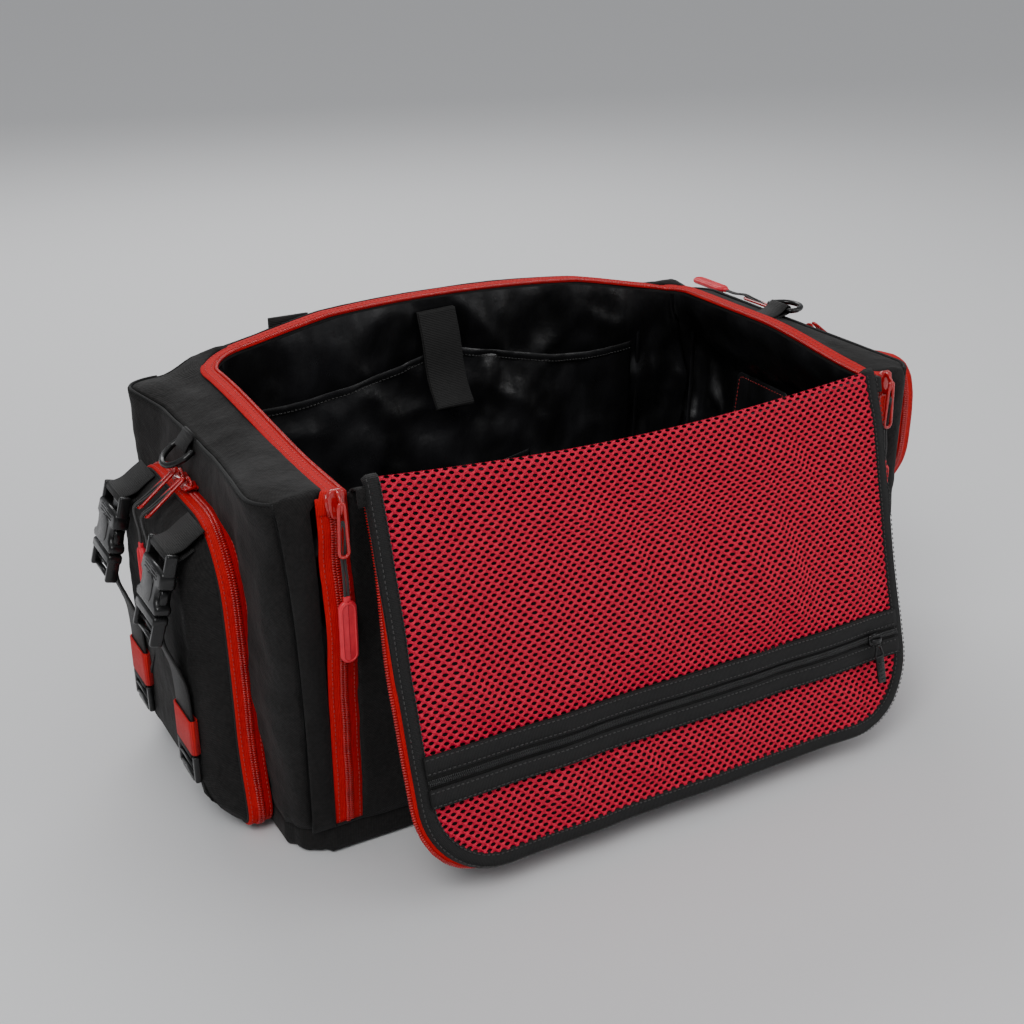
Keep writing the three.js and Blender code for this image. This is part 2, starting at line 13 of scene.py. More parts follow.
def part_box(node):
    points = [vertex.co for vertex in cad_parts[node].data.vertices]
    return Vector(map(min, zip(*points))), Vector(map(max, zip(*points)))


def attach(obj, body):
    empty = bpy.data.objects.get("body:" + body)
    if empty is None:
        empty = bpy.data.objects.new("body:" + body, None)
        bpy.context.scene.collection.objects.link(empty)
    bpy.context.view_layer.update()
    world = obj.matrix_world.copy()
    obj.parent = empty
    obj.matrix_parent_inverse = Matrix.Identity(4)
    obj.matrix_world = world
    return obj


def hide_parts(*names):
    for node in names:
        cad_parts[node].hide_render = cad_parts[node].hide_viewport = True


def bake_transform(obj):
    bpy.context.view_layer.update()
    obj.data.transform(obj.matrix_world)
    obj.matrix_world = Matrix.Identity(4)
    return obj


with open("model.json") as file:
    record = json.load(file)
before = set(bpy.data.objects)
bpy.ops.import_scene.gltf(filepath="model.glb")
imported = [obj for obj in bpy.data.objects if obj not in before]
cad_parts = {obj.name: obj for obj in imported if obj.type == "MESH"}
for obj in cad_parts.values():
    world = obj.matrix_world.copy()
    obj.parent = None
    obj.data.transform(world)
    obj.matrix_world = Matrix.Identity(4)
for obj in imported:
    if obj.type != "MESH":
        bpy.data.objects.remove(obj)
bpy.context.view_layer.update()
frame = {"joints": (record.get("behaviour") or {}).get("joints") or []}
MM = 0.001

# --- Places taken from the frame -----------------------------------------------------------------
HALF_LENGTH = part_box("base_panel")[1].x
HALF_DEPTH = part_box("base_panel")[1].y
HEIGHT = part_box("left_end_panel")[1].z
RIM_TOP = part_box("main_zip_tape")[1].z
BASE_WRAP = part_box("base_panel")[1].z
MOUTH_HALF_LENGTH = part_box("main_zip_tape")[1].x
MOUTH_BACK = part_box("main_zip_tape")[1].y
FRONT_ZIP_LOW, FRONT_ZIP_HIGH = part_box("front_zip_left")
FRONT_ZIP_X = -(FRONT_ZIP_LOW.x + FRONT_ZIP_HIGH.x) / 2
FRONT_ZIP_HALF = (FRONT_ZIP_HIGH.x - FRONT_ZIP_LOW.x) / 2
JOINTS = {joint["name"]: joint for joint in frame["joints"]}

# --- Sizes shared with the design ----------------------------------------------------------------
BODY_CORNER = 25 * MM
MOUTH_CORNER = 45 * MM
RIM_HALF_SPAN = 215 * MM
CORNER_SEAM_FRONT = 12 * MM
CORNER_SEAM_BACK = 25 * MM
WEBBING = 38 * MM
LID_TILT = math.radians(17)
LID_LENGTH = 302 * MM
LID_HALF_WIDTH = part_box("lid_zip_tape")[1].x
LID_CORNER = 68 * MM
LID_STRIP_OFFSET = 218 * MM
LID_STRIP_WIDTH = 40 * MM
NET_INSET = 13 * MM
LID_STITCH, LID_STITCH_GAP = 2.2 * MM, 1.8 * MM
POCKET_CENTRE_Y = 12 * MM
POCKET_HALF_WIDTH = 104 * MM
POCKET_CORNER = 55 * MM
POCKET_FOOT = 6 * MM
POCKET_DEPTH = 44 * MM
BAR_OUT = POCKET_DEPTH + 6 * MM
BAR_DROP = 21 * MM
STRAP_SPACING = 60 * MM
BUCKLE_TILT = math.radians(16)
SOCKET_LENGTH = 45 * MM
PLUG_LENGTH = 24 * MM
BUCKLE_WIDTH = 48 * MM
BUCKLE_THICKNESS = 13 * MM
HOOK_LENGTH = 42 * MM
HOOK_WIDTH = 10 * MM
WIRE = 1.4 * MM
TOOTH_PITCH = 2.0 * MM
CORD_LENGTH = 32 * MM
TAB_LENGTH = 50 * MM
TAB_WIDTH = 14 * MM
TAB_THICKNESS = 5 * MM

# --- Camera and studio ---------------------------------------------------------------------------
CAMERA_PLACE = (-0.594, -0.993, 0.692)
CAMERA_TURN, CAMERA_RISE = math.radians(-30), math.radians(24.3)
FLOOR_HALF = 40.0
LIGHTS = (  # name, place, target, size, power
    ("key", (-1.5, -1.3, 2.3), (0, -0.05, 0.15), (1.4, 1.4), 34),
    ("fill", (1.9, -1.4, 1.3), (0, -0.1, 0.1), (1.6, 1.2), 14),
    ("rim", (0.4, 2.0, 1.9), (0, 0, 0.25), (2.2, 1.0), 32),
)

# --- Numbers and shapes --------------------------------------------------------------------------


def ramp(value, start, width):
    """0 before start, rising smoothly to 1 across that width."""
    t = np.clip((value - start) / width, 0.0, 1.0)
    return t * t * (3.0 - 2.0 * t)


def unit(v):
    v = np.asarray(v, float)
    return v / np.maximum(np.linalg.norm(v, axis=-1, keepdims=True), 1e-12)


def arch(x, span):
    """1 in the middle of a span, falling along a cosine to 0 at its ends."""
    return np.cos(np.pi * np.clip(x / span, -0.5, 0.5))


def loop_tangents(points):
    return unit(np.roll(points, -1, axis=0) - np.roll(points, 1, axis=0))


def ripple(points, size, seed=0.0, octaves=3):
    """Smooth noise from about -1 to 1 at each point, with features of that size."""
    flat = np.asarray(points, float).reshape(-1, 3) / size + seed
    values = [noise.fractal(Vector(p), 1.0, 2.0, octaves) for p in flat]
    return np.array(values).reshape(np.asarray(points).shape[:-1])


def run_length(path):
    """How far along a path each of its points lies."""
    return np.concatenate([[0.0], np.cumsum(np.linalg.norm(np.diff(path, axis=0), axis=1))])


def values_at(at, along, values):
    """The rows of values read off at those places along."""
    return np.stack([np.interp(at, along, column) for column in values.T], axis=1)


def resample(path, step):
    """The same polyline with points about a step apart."""
    path = np.asarray(path, float)
    along = run_length(path)
    count = max(2, int(round(along[-1] / step)) + 1)
    return values_at(np.linspace(0.0, along[-1], count), along, path)


def rounded_loop(half_x, y_low, y_high, low_radius, high_radius, step=4 * MM):
    """Points round a rounded rectangle, from the middle of its low side towards +X."""
    corners = [
        (half_x, y_low, low_radius, -90), (half_x, y_high, high_radius, 0),
        (-half_x, y_high, high_radius, 90), (-half_x, y_low, low_radius, 180),
    ]
    loop = [(0.0, y_low)]
    for x, y, radius, start in corners:
        cx = x - math.copysign(radius, x)
        cy = y + radius if y == y_low else y - radius
        turns = np.radians(np.linspace(start, start + 90, 9 if radius > 0 else 1))
        loop += [(cx + radius * math.cos(a), cy + radius * math.sin(a)) for a in turns]
    loop.append((0.0, y_low))
    return resample(loop, step)


class Outline:
    """The bag's outline seen from above, measured along its edge from the middle of the front."""

    def __init__(self, inset=0.0):
        self.points = rounded_loop(
            HALF_LENGTH - inset, -HALF_DEPTH + inset, HALF_DEPTH - inset,
            BODY_CORNER - inset, BODY_CORNER - inset, 1 * MM)
        self.along = run_length(self.points)
        self.length = self.along[-1]

    def at(self, s):
        s = np.asarray(s) % self.length
        x = np.interp(s, self.along, self.points[:, 0])
        y = np.interp(s, self.along, self.points[:, 1])
        return x, y

    def find(self, x, front):
        """How far along the edge the front or the back reaches this x."""
        on_side = (self.points[:, 1] < 0) == front
        distance = np.where(on_side, np.abs(self.points[:, 0] - x), 1.0)
        return self.along[int(np.argmin(distance))]


BODY = Outline()
ALL_ROUND = np.linspace(0.0, BODY.length, 381)[:-1]
SEAMS = {
    "front_right": BODY.find(HALF_LENGTH - CORNER_SEAM_FRONT, True),
    "back_right": BODY.find(HALF_LENGTH - CORNER_SEAM_BACK, False),
    "back_left": BODY.find(-HALF_LENGTH + CORNER_SEAM_BACK, False),
    "front_left": BODY.find(-HALF_LENGTH + CORNER_SEAM_FRONT, True),
}


def rim_height(x):
    """Where the design's rim runs: a bow between its two ends."""
    return HEIGHT + (RIM_TOP - HEIGHT) * arch(x, 2 * RIM_HALF_SPAN) ** 1.4


def slack_rim(x):
    """Where the rim of the soft bag really runs at the back: fuller than a stiff bow."""
    return HEIGHT + 38 * MM * arch(x + 10 * MM, 580 * MM) ** 0.85


def front_sag(x):
    """How far the front's top edge hangs slack below its two ends."""
    return 13 * MM * arch(x, 470 * MM)


def settle(points):
    """How the empty bag slumps: a full rim at the back and right, and soft left corners."""
    p = np.array(points, float)
    x, y, z = p[..., 0], p[..., 1], p[..., 2]
    up = np.clip(z / HEIGHT, 0.0, 1.04)
    back = (slack_rim(x) - rim_height(x)) * ramp(y, -0.10, 0.2)
    right = ramp(x, 0.16, 0.08) * ramp(y, -0.15, 0.15) * 13 * MM
    inside = 1 - ramp(np.abs(x), 0.246, 0.024)
    rise = np.maximum(back, right) * inside * up**6
    seam = ramp(-x, 0.262, 0.03) * ramp(y, -0.12, 0.10)
    droop = seam * (1 - ramp(y, 0.09, 0.05)) * 8 * MM * up**8
    sag = front_sag(x) * ramp(-y, 0.10, 0.04) * up**10
    beyond = ramp(x, 0.297, 0.006)
    corner = beyond * ramp(-y, 0.045, 0.047)
    bulge = corner * ramp(z, 0.12, 0.1) * 44 * MM
    lift = corner * ramp(z, 0.2, 0.07) * 34 * MM
    foot = ramp(-x, 0.297, 0.006) * ramp(-y, 0.045, 0.047) * (1 - ramp(z, 0, 0.09))
    left = ramp(-x, 0.24, 0.05)
    lean = left * ramp(-y, 0.02, 0.12) * 13 * MM * up**3.5
    spread = left * ramp(y, 0.09, 0.05) * 16 * MM * up
    p[..., 2] = z + rise - droop - sag + lift - foot * 5 * MM
    p[..., 1] = y - bulge - foot * 14 * MM
    p[..., 0] = x - lean - spread
    return p


# --- Meshes --------------------------------------------------------------------------------------


def grid_faces(rows, columns, wrap=False):
    i, j = np.meshgrid(np.arange(rows - 1), np.arange(columns if wrap else columns - 1),
                       indexing="ij")
    k = (j + 1) % columns
    quads = np.stack([i * columns + j, i * columns + k, (i + 1) * columns + k,
                      (i + 1) * columns + j], axis=-1)
    return quads.reshape(-1, 4).tolist()


def tube_faces(rows, columns):
    """Rings joined into a tube, with a face over each end."""
    last = (rows - 1) * columns
    ends = [tuple(range(columns))[::-1], tuple(range(last, last + columns))]
    return grid_faces(rows, columns, wrap=True) + ends


def grid_normals(points):
    across = np.gradient(points, axis=1)
    down = np.gradient(points, axis=0)
    return unit(np.cross(down, across))


def sheet_parts(points, uvs, thickness, flip=False):
    """Closed cloth: the grid of points is the face, and its back lies a thickness below it."""
    rows, columns = points.shape[:2]
    count = rows * columns
    back = points - grid_normals(points) * (-1 if flip else 1) * thickness
    faces = grid_faces(rows, columns)
    faces += [tuple(i + count for i in face[::-1]) for face in faces]
    places = np.arange(count).reshape(rows, columns)
    ring = np.concatenate([places[0], places[1:, -1], places[-1, -2::-1], places[-2:0:-1, 0]])
    ring = ring.tolist()
    faces += [(b, a, a + count, b + count) for a, b in zip(ring, ring[1:] + ring[:1])]
    if not flip:
        faces = [tuple(face[::-1]) for face in faces]
    both = np.concatenate([points.reshape(-1, 3), back.reshape(-1, 3)])
    return both, faces, np.concatenate([uvs.reshape(-1, 2)] * 2)


def path_frames(path, normals=None, closed=False):
    """Side and normal at each point of a path."""
    path = np.asarray(path, float)
    if closed:
        tangent = loop_tangents(path)
    else:
        tangent = unit(np.gradient(path, axis=0))
    if normals is None:
        first = np.cross(tangent[0], [0.0, 0.0, 1.0])
        if np.linalg.norm(first) < 0.1:
            first = np.cross(tangent[0], [0.0, 1.0, 0.0])
        normals = [unit(first)]
        for t in tangent[1:]:
            last = normals[-1]
            normals.append(unit(last - t * np.dot(last, t)))
        normals = np.array(normals)
    else:
        normals = np.broadcast_to(np.asarray(normals, float), path.shape)
        normals = unit(normals - tangent * np.sum(normals * tangent, axis=1, keepdims=True))
    return np.cross(tangent, normals), normals


def sweep_parts(path, section, normals=None, closed=False, scale=None):
    """A section of (side, normal) places carried along a path, with its ends capped."""
    path, section = np.asarray(path, float), np.asarray(section, float)
    side, up = path_frames(path, normals, closed)
    size = np.ones(len(path)) if scale is None else np.asarray(scale)
    a, b = section[:, 0][None, :, None], section[:, 1][None, :, None]
    rings = path[:, None] + (side[:, None] * a + up[:, None] * b) * size[:, None, None]
    rows, columns = rings.shape[:2]
    uvs = np.broadcast_arrays(run_length(section)[None, :], run_length(path)[:, None])
    if closed:
        last = (rows - 1) * columns
        faces = grid_faces(rows, columns, wrap=True)
        faces += [(last + j, last + (j + 1) % columns, (j + 1) % columns, j)
                  for j in range(columns)]
    else:
        faces = tube_faces(rows, columns)
    return rings.reshape(-1, 3), faces, np.stack(uvs, axis=-1).reshape(-1, 2)


def circle(radius, sides=8):
    turns = np.arange(sides) * 2 * np.pi / sides
    return np.stack([radius * np.cos(turns), radius * np.sin(turns)], axis=1)


def band(width, thickness, crown=0.0):
    """The section of a flat tape: rounded edges, and a face that may be a little domed."""
    half, deep = width / 2, thickness / 2
    edge = min(deep, half) * 0.7
    side = [-half, -half + edge, 0.0, half - edge, half, half - edge, 0.0, -half + edge]
    high = [0.0, deep, deep + crown, deep, 0.0, -deep, -deep, -deep]
    return np.stack([side, high], axis=1)


def arc_points(centre, radius, start, stop, count=9):
    turns = np.radians(np.linspace(start, stop, count))
    return [(centre[0] + radius * math.cos(a), centre[1] + radius * math.sin(a)) for a in turns]


def plate_parts(outline, thickness, bevel, origin, x_axis, y_axis, steps=3):
    """A plate with rounded edges, its outline drawn from origin in those two axes."""
    outline = np.asarray(outline, float)
    tangent = loop_tangents(outline)
    inward = np.stack([-tangent[:, 1], tangent[:, 0]], axis=1)
    turns = np.linspace(0, np.pi / 2, steps + 1)
    low = [(bevel * (1 - math.sin(a)), -thickness / 2 + bevel * (1 - math.cos(a))) for a in turns]
    levels = low + [(inset, -z) for inset, z in reversed(low)]
    points = np.array([np.column_stack([outline + inward * inset, np.full(len(outline), z)])
                       for inset, z in levels])
    flat = points.reshape(-1, 3)
    x_axis, y_axis = unit(x_axis), unit(y_axis)
    basis = np.stack([x_axis, y_axis, np.cross(x_axis, y_axis)])
    return flat @ basis + np.asarray(origin, float), tube_faces(*points.shape[:2]), flat[:, :2]


def offsets(origin, steps):
    """Places at those steps, in millimetres, from an origin."""
    return [np.array(origin) + np.array(step) * MM for step in steps]


def mirrored(points):
    """An outline's right half, followed by its left half."""
    return list(points) + [(-x, y) for x, y in reversed(points)]


def stadium(half_width, low, high, radius=None, count=7):
    radius = half_width if radius is None else radius
    x, y0, y1 = half_width - radius, low + radius, high - radius
    corners = [((x, y0), -90), ((x, y1), 0), ((-x, y1), 90), ((-x, y0), 180)]
    return [p for centre, a in corners for p in arc_points(centre, radius, a, a + 90, count)]


def cylinder_parts(start, stop, radius, sides=12):
    return sweep_parts(np.linspace(start, stop, 2), circle(radius, sides))


# --- Materials -----------------------------------------------------------------------------------


class Shader:
    """A procedural material, built node by node around one Principled shader."""

    def __init__(self, name, roughness=0.6, **sockets):
        self.material = bpy.data.materials.new(name)
        self.material.use_nodes = True
        self.tree = self.material.node_tree
        self.surface = self.tree.nodes["Principled BSDF"]
        self.surface.inputs["Roughness"].default_value = roughness
        for key, value in sockets.items():
            self.surface.inputs[key.replace("_", " ")].default_value = value
        self.coords = self.tree.nodes.new("ShaderNodeTexCoord")
        self.normal = None

    def node(self, kind, inputs, **settings):
        made = self.tree.nodes.new("ShaderNode" + kind)
        for key, value in settings.items():
            setattr(made, key, value)
        for key, value in inputs.items():
            if isinstance(value, bpy.types.NodeSocket):
                self.tree.links.new(value, made.inputs[key])
            else:
                made.inputs[key].default_value = value
        return made

    def math(self, operation, a, b=0.0):
        return self.node("Math", {0: a, 1: b}, operation=operation).outputs[0]

    def mix(self, a, a_share, b, b_share):
        return self.math("ADD", self.math("MULTIPLY", a, a_share),
                         self.math("MULTIPLY", b, b_share))

    def noise(self, size, detail=3.0, stretch=(1, 1, 1)):
        """Noise in the object's own space, with features of that size in metres."""
        place = self.node("Mapping", {"Vector": self.coords.outputs["Object"],
                                      "Scale": [s / size for s in stretch]})
        made = self.node("TexNoise", {"Vector": place.outputs[0], "Scale": 1.0, "Detail": detail})
        return made.outputs["Fac"]

    def thread(self, axis, pitch):
        """0 to 1 to 0 across each thread, counted along U (0) or V (1)."""
        split = self.node("SeparateXYZ", {0: self.coords.outputs["UV"]}).outputs[axis]
        turn = self.math("MULTIPLY", split, math.pi / pitch)
        return self.math("ABSOLUTE", self.math("SINE", turn))

    def weave(self, pitch):
        """Over and under threads both ways."""
        split = self.node("SeparateXYZ", {0: self.coords.outputs["UV"]})
        u, v = (self.math("SINE", self.math("MULTIPLY", split.outputs[axis], math.pi / pitch))
                for axis in (0, 1))
        return self.math("ADD", self.math("MULTIPLY", self.math("MULTIPLY", u, v), 0.5), 0.5)

    def colours(self, amount, dark, light, low=0.35, high=0.65):
        ramp = self.node("ValToRGB", {"Fac": amount})
        ramp.color_ramp.elements[0].position = low
        ramp.color_ramp.elements[1].position = high
        ramp.color_ramp.elements[0].color = (*dark, 1)
        ramp.color_ramp.elements[1].color = (*light, 1)
        self.tree.links.new(ramp.outputs[0], self.surface.inputs["Base Color"])

    def roughness(self, amount, low, high):
        spread = self.node("MapRange", {0: amount, 1: 0.3, 2: 0.7, 3: low, 4: high})
        self.tree.links.new(spread.outputs[0], self.surface.inputs["Roughness"])

    def bump(self, height, distance, strength=1.0):
        inputs = {"Height": height, "Distance": distance, "Strength": strength}
        if self.normal is not None:
            inputs["Normal"] = self.normal
        self.normal = self.node("Bump", inputs).outputs[0]
        self.tree.links.new(self.normal, self.surface.inputs["Normal"])


def cordura():
    """Black woven nylon, matt, with a dusty mottle and soft creases."""
    shader = Shader("cordura", 0.8, Specular_IOR_Level=0.24, Sheen_Weight=0.04,
                    Sheen_Roughness=0.5)
    mottle = shader.mix(shader.weave(1.1 * MM), 0.3, shader.noise(3 * MM, 4), 0.7)
    shader.colours(mottle, (0.0040, 0.0037, 0.0036), (0.0150, 0.0136, 0.0131), 0.32, 0.68)
    shader.roughness(shader.noise(40 * MM), 0.72, 0.92)
    shader.bump(shader.noise(30 * MM, 3), 4.0 * MM, 0.7)
    shader.bump(shader.noise(3 * MM, 3), 0.55 * MM, 0.8)
    shader.bump(shader.weave(1.1 * MM), 0.25 * MM, 0.8)
    return shader.material


def lining_satin():
    """Thin black polyester with a real shine along its creases, and painted sheen: lighter colour in
    streaks on the same crease noise.
    """
    shader = Shader("lining_satin", 0.35, Specular_IOR_Level=0.8)
    # Painted sheen: the base colour is lighter where the stretched crease noise is high, the same
    # noise that bumps the creases below.
    shader.colours(shader.noise(38 * MM, 2, (1, 1, 0.4)), (0.0045, 0.0045, 0.0050),
                   (0.020, 0.0198, 0.0222), 0.40, 0.85)
    shader.roughness(shader.noise(30 * MM), 0.27, 0.44)
    shader.bump(shader.noise(38 * MM, 2, (1, 1, 0.4)), 9.0 * MM, 0.9)
    shader.bump(shader.noise(6 * MM, 3), 0.5 * MM, 0.45)
    shader.bump(shader.weave(0.5 * MM), 0.06 * MM, 0.5)
    return shader.material


def webbing(name, dark, light, rough=0.62, pitch=1.5 * MM):
    """Heavy woven tape with ribs across it and a tight selvedge weave."""
    shader = Shader(name, rough, Specular_IOR_Level=0.3, Sheen_Weight=0.03)
    ribs = shader.thread(1, pitch)
    chevron = shader.math("MULTIPLY", shader.thread(0, 1.1 * MM), 0.4)
    both = shader.math("MULTIPLY", ribs, shader.math("ADD", chevron, 0.6))
    shader.colours(shader.mix(both, 0.5, shader.noise(4 * MM), 0.5), dark, light, 0.2, 0.75)
    shader.bump(both, 0.35 * MM, 0.8)
    shader.bump(shader.noise(9 * MM), 0.5 * MM, 0.3)
    return shader.material


def knit_tape(name, dark, light):
    """Zip tape: fine cords along it, crossed by small stitches."""
    shader = Shader(name, 0.7, Specular_IOR_Level=0.16, Sheen_Weight=0.01)
    height = shader.mix(shader.thread(0, 1.3 * MM), 0.7, shader.thread(1, 1.0 * MM), 0.3)
    shader.colours(shader.mix(height, 0.45, shader.noise(3 * MM), 0.55), dark, light, 0.25, 0.75)
    shader.bump(height, 0.25 * MM, 0.7)
    return shader.material


def moulded(name, dark, light, rough, coat=0.0, grain=0.08 * MM):
    """Moulded plastic, rubber or paint: faint mottle, a fine grain and worn patches of gloss."""
    shader = Shader(name, rough, Coat_Weight=coat, Coat_Roughness=0.12, Specular_IOR_Level=0.36)
    shader.colours(shader.noise(12 * MM, 4), dark, light)
    shader.roughness(shader.noise(7 * MM, 4), rough * 0.82, rough * 1.18)
    shader.bump(shader.noise(1.6 * MM, 2), grain, 0.5)
    return shader.material


def thread_yarn(name, dark, light):
    """Sewing thread or braided cord, with a twist along it."""
    shader = Shader(name, 0.6, Specular_IOR_Level=0.4, Sheen_Weight=0.2)
    twist = shader.thread(1, 0.8 * MM)
    shader.colours(twist, dark, light, 0.1, 0.9)
    shader.bump(twist, 0.2 * MM, 0.6)
    return shader.material


def net_yarn():
    """Shiny crimson knitted net."""
    shader = Shader("net_yarn", 0.5, Specular_IOR_Level=0.2, Sheen_Weight=0.02)
    shade = shader.noise(2.2 * MM, 3)
    shader.colours(shade, (0.50, 0.004, 0.031), (0.80, 0.010, 0.056))
    shader.bump(shade, 0.3 * MM, 0.6)
    shader.bump(shader.thread(0, 0.5 * MM), 0.1 * MM, 0.5)
    return shader.material


def board_skin():
    """Grey fibreboard, pressed and faintly speckled."""
    shader = Shader("board_skin", 0.75)
    shader.colours(shader.noise(1.5 * MM, 5), (0.05, 0.05, 0.05), (0.085, 0.083, 0.08))
    shader.bump(shader.noise(1.0 * MM, 3), 0.1 * MM, 0.5)
    return shader.material


RED_DARK, RED_LIGHT = (0.39, 0.003, 0.004), (0.61, 0.007, 0.008)
BLACK_DARK, BLACK_LIGHT = (0.0062, 0.006, 0.006), (0.016, 0.0155, 0.015)
LOOKS = {
    "cordura": (cordura(), "cordura"),
    "lining": (lining_satin(), "lining"),
    "webbing": (webbing("webbing_black", BLACK_DARK, BLACK_LIGHT), "webbing"),
    "grosgrain": (webbing("grosgrain_black", (0.0062, 0.0062, 0.0062), (0.014, 0.0135, 0.0135),
                          0.7, 1.2 * MM), "webbing"),
    "keeper": (webbing("webbing_red", RED_DARK, RED_LIGHT), "webbing"),
    "red_tape": (knit_tape("zip_tape_red", RED_DARK, RED_LIGHT), "red_tape"),
    "black_tape": (knit_tape("zip_tape_black", BLACK_DARK, BLACK_LIGHT), "webbing"),
    "red_teeth": (moulded("zip_teeth_red", (0.40, 0.008, 0.010), (0.55, 0.014, 0.016), 0.32, 0.3),
                  "red_tape"),
    "black_teeth": (moulded("zip_teeth_black", (0.012, 0.012, 0.012), (0.022, 0.022, 0.022), 0.35,
                            0.3), "black_plastic"),
    "net": (net_yarn(), "red_mesh"),
    "rubber": (moulded("rubber_red", (0.66, 0.020, 0.037), (0.84, 0.030, 0.052), 0.46, 0.1),
               "red_rubber"),
    "metal": (moulded("painted_metal_red", (0.42, 0.006, 0.008), (0.52, 0.010, 0.012), 0.22, 0.8,
                      0.03 * MM), "red_metal"),
    "plastic": (moulded("plastic_black", (0.0045, 0.0045, 0.0046), (0.009, 0.009, 0.0092), 0.30,
                        0.2, 0.06 * MM), "black_plastic"),
    "stitch_red": (thread_yarn("thread_red", (0.30, 0.006, 0.008), (0.52, 0.014, 0.016)),
                   "red_tape"),
    "stitch_black": (thread_yarn("thread_black", (0.010, 0.010, 0.010), (0.045, 0.043, 0.042)),
                     "webbing"),
    "cord": (thread_yarn("cord_black", (0.008, 0.008, 0.008), (0.030, 0.029, 0.028)), "webbing"),
    "board": (board_skin(), "board"),
}


def join(name, parts, look_name):
    """One mesh from (points, faces, uvs) parts that share a look."""
    points, faces, uvs, count = [], [], [], 0
    for part_points, part_faces, part_uvs in parts:
        points.append(part_points)
        uvs.append(part_uvs)
        faces += [tuple(int(i) + count for i in face) for face in part_faces]
        count += len(part_points)
    mesh = bpy.data.meshes.new(name)
    mesh.from_pydata(np.concatenate(points).tolist(), [], faces)
    corner = np.zeros(len(mesh.loops), np.int32)
    mesh.loops.foreach_get("vertex_index", corner)
    spread = np.concatenate(uvs).astype(np.float32)[corner]
    mesh.uv_layers.new(name="UVMap").data.foreach_set("uv", spread.reshape(-1))
    mesh.materials.append(LOOKS[look_name][0])
    mesh.polygons.foreach_set("use_smooth", np.full(len(mesh.polygons), True))
    mesh.update()
    obj = bpy.data.objects.new(name, mesh)
    bpy.context.scene.collection.objects.link(obj)
    return obj


def collect(name, parts, look_name, body, *nodes):
    """A piece with its look, its body and the design's nodes that it stands for."""
    obj = join(name, parts, look_name)
    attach(obj, body)
    if nodes:
        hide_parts(*nodes)
    return obj


# --- Places on the walls -------------------------------------------------------------------------


def seam_dip(s, z):
    """How far a seam pulls the cloth in: along the base wrap and up the four corner seams."""
    depth = 1.5 * MM * np.exp(-((z - BASE_WRAP) / (5 * MM)) ** 2)
    for place in SEAMS.values():
        away = (s - place + BODY.length / 2) % BODY.length - BODY.length / 2
        depth = depth + 1.5 * MM * np.exp(-(away / (5 * MM)) ** 2)
    return depth


def fullness(x, y, z):
    """How far the cloth stands out from the flat wall, in metres."""
    high = np.clip(z / HEIGHT, 0.0, 1.0)
    front = ramp(-y, 0.140, 0.010) * arch(x, 0.48)
    back = ramp(y, 0.140, 0.010) * arch(x, 0.56)
    end = ramp(np.abs(x), 0.285, 0.008) * arch(y, 0.31)
    out = front * 6.5 * MM * np.sin(np.pi * high) ** 0.8
    out = out + back * (5.0 * MM * np.sin(np.pi * high ** 0.8))
    return out + end * 1.5 * MM * np.sin(np.pi * high)


def creases(points):
    broad = ripple(points, 75 * MM, 3.0) * 4.2 * MM
    fine = ripple(points, 24 * MM, 11.0) * 1.2 * MM
    pleats = ripple(points * [1, 1, 0.3], 30 * MM, 17.0, 2) * 1.3 * MM
    return broad + fine + pleats


def on_wall(s, z, lift=0.0, slack=1.0):
    """Points on the cloth of the walls, s along the outline and z up, standing off by lift."""
    s, z = np.broadcast_arrays(np.asarray(s, float), np.asarray(z, float))
    x, y = BODY.at(s)
    ax, ay = BODY.at(s + 1 * MM)
    bx, by = BODY.at(s - 1 * MM)
    along = unit(np.stack([ax - bx, ay - by, np.zeros_like(x)], axis=-1))
    outward = np.stack([along[..., 1], -along[..., 0], np.zeros_like(x)], axis=-1)
    flat = np.stack([x, y, z], axis=-1)
    calm = ramp(rim_height(x) - z, 0, 30 * MM) * 0.8 + 0.2
    slack = slack * ramp(z, -8 * MM, 50 * MM)
    full = (fullness(x, y, z) + creases(flat) * slack - seam_dip(s, z)) * calm
    corner = (np.abs(x) > HALF_LENGTH - BODY_CORNER) & (np.abs(y) > HALF_DEPTH - BODY_CORNER)
    tuck = corner * 5 * MM * (1 - ramp(z, 0, 60 * MM))
    return settle(flat + outward * (np.minimum(full, 7 * MM) + lift - tuck)[..., None])


def wall_line(s, z, lift, far=5 * MM):
    """A line on the walls' cloth, and the way out of the cloth along it."""
    path = on_wall(s, z, lift)
    return path, unit(on_wall(s, z, far) - path)


def wall_panel(name, s_low, s_high, top, node):
    """A sewn panel of the walls from s_low to s_high, up to top, which depends on x."""
    step = 4.5 * MM
    s = np.linspace(s_low, s_high, max(3, int((s_high - s_low) / step)))
    top = np.array([top(BODY.at(v)[0]) for v in s])
    rows = max(3, int((np.max(top) - BASE_WRAP) / step))
    z = BASE_WRAP + (top[None, :] - BASE_WRAP) * np.linspace(1.0, 0.0, rows)[:, None]
    across = np.broadcast_to(s[None, :], z.shape)
    uvs = np.stack([across, z], axis=-1)
    obj = collect(name, [sheet_parts(on_wall(across, z), uvs, 2.4 * MM, flip=True)], "cordura",
                  "bag", node)


def cord_along(name, path, radius=1.5 * MM, closed=False):
    """Piping: a cord covered in ribbed tape."""
    collect(name, [sweep_parts(path, circle(radius), closed=closed)], "grosgrain", "bag")


def stitch_parts(path, normals, length=2.6 * MM, gap=1.4 * MM, radius=0.42 * MM):
    """Short stitches lying along a path, sunk a little into the cloth."""
    pitch = length + gap
    path = np.asarray(path, float)
    normals = np.broadcast_to(np.asarray(normals, float), path.shape)
    along = run_length(path)
    parts = []
    for k in range(int(along[-1] / pitch)):
        at = k * pitch + gap / 2 + length * np.array([0, 0.2, 0.8, 1])
        up = values_at(at, along, normals)
        sink = np.array([[-0.2], [0.35], [0.35], [-0.2]]) * radius
        spots = values_at(at, along, path) + unit(up) * sink
        parts.append(sweep_parts(spots, circle(radius, 5), up, scale=[0.6, 1, 1, 0.6]))
    return parts


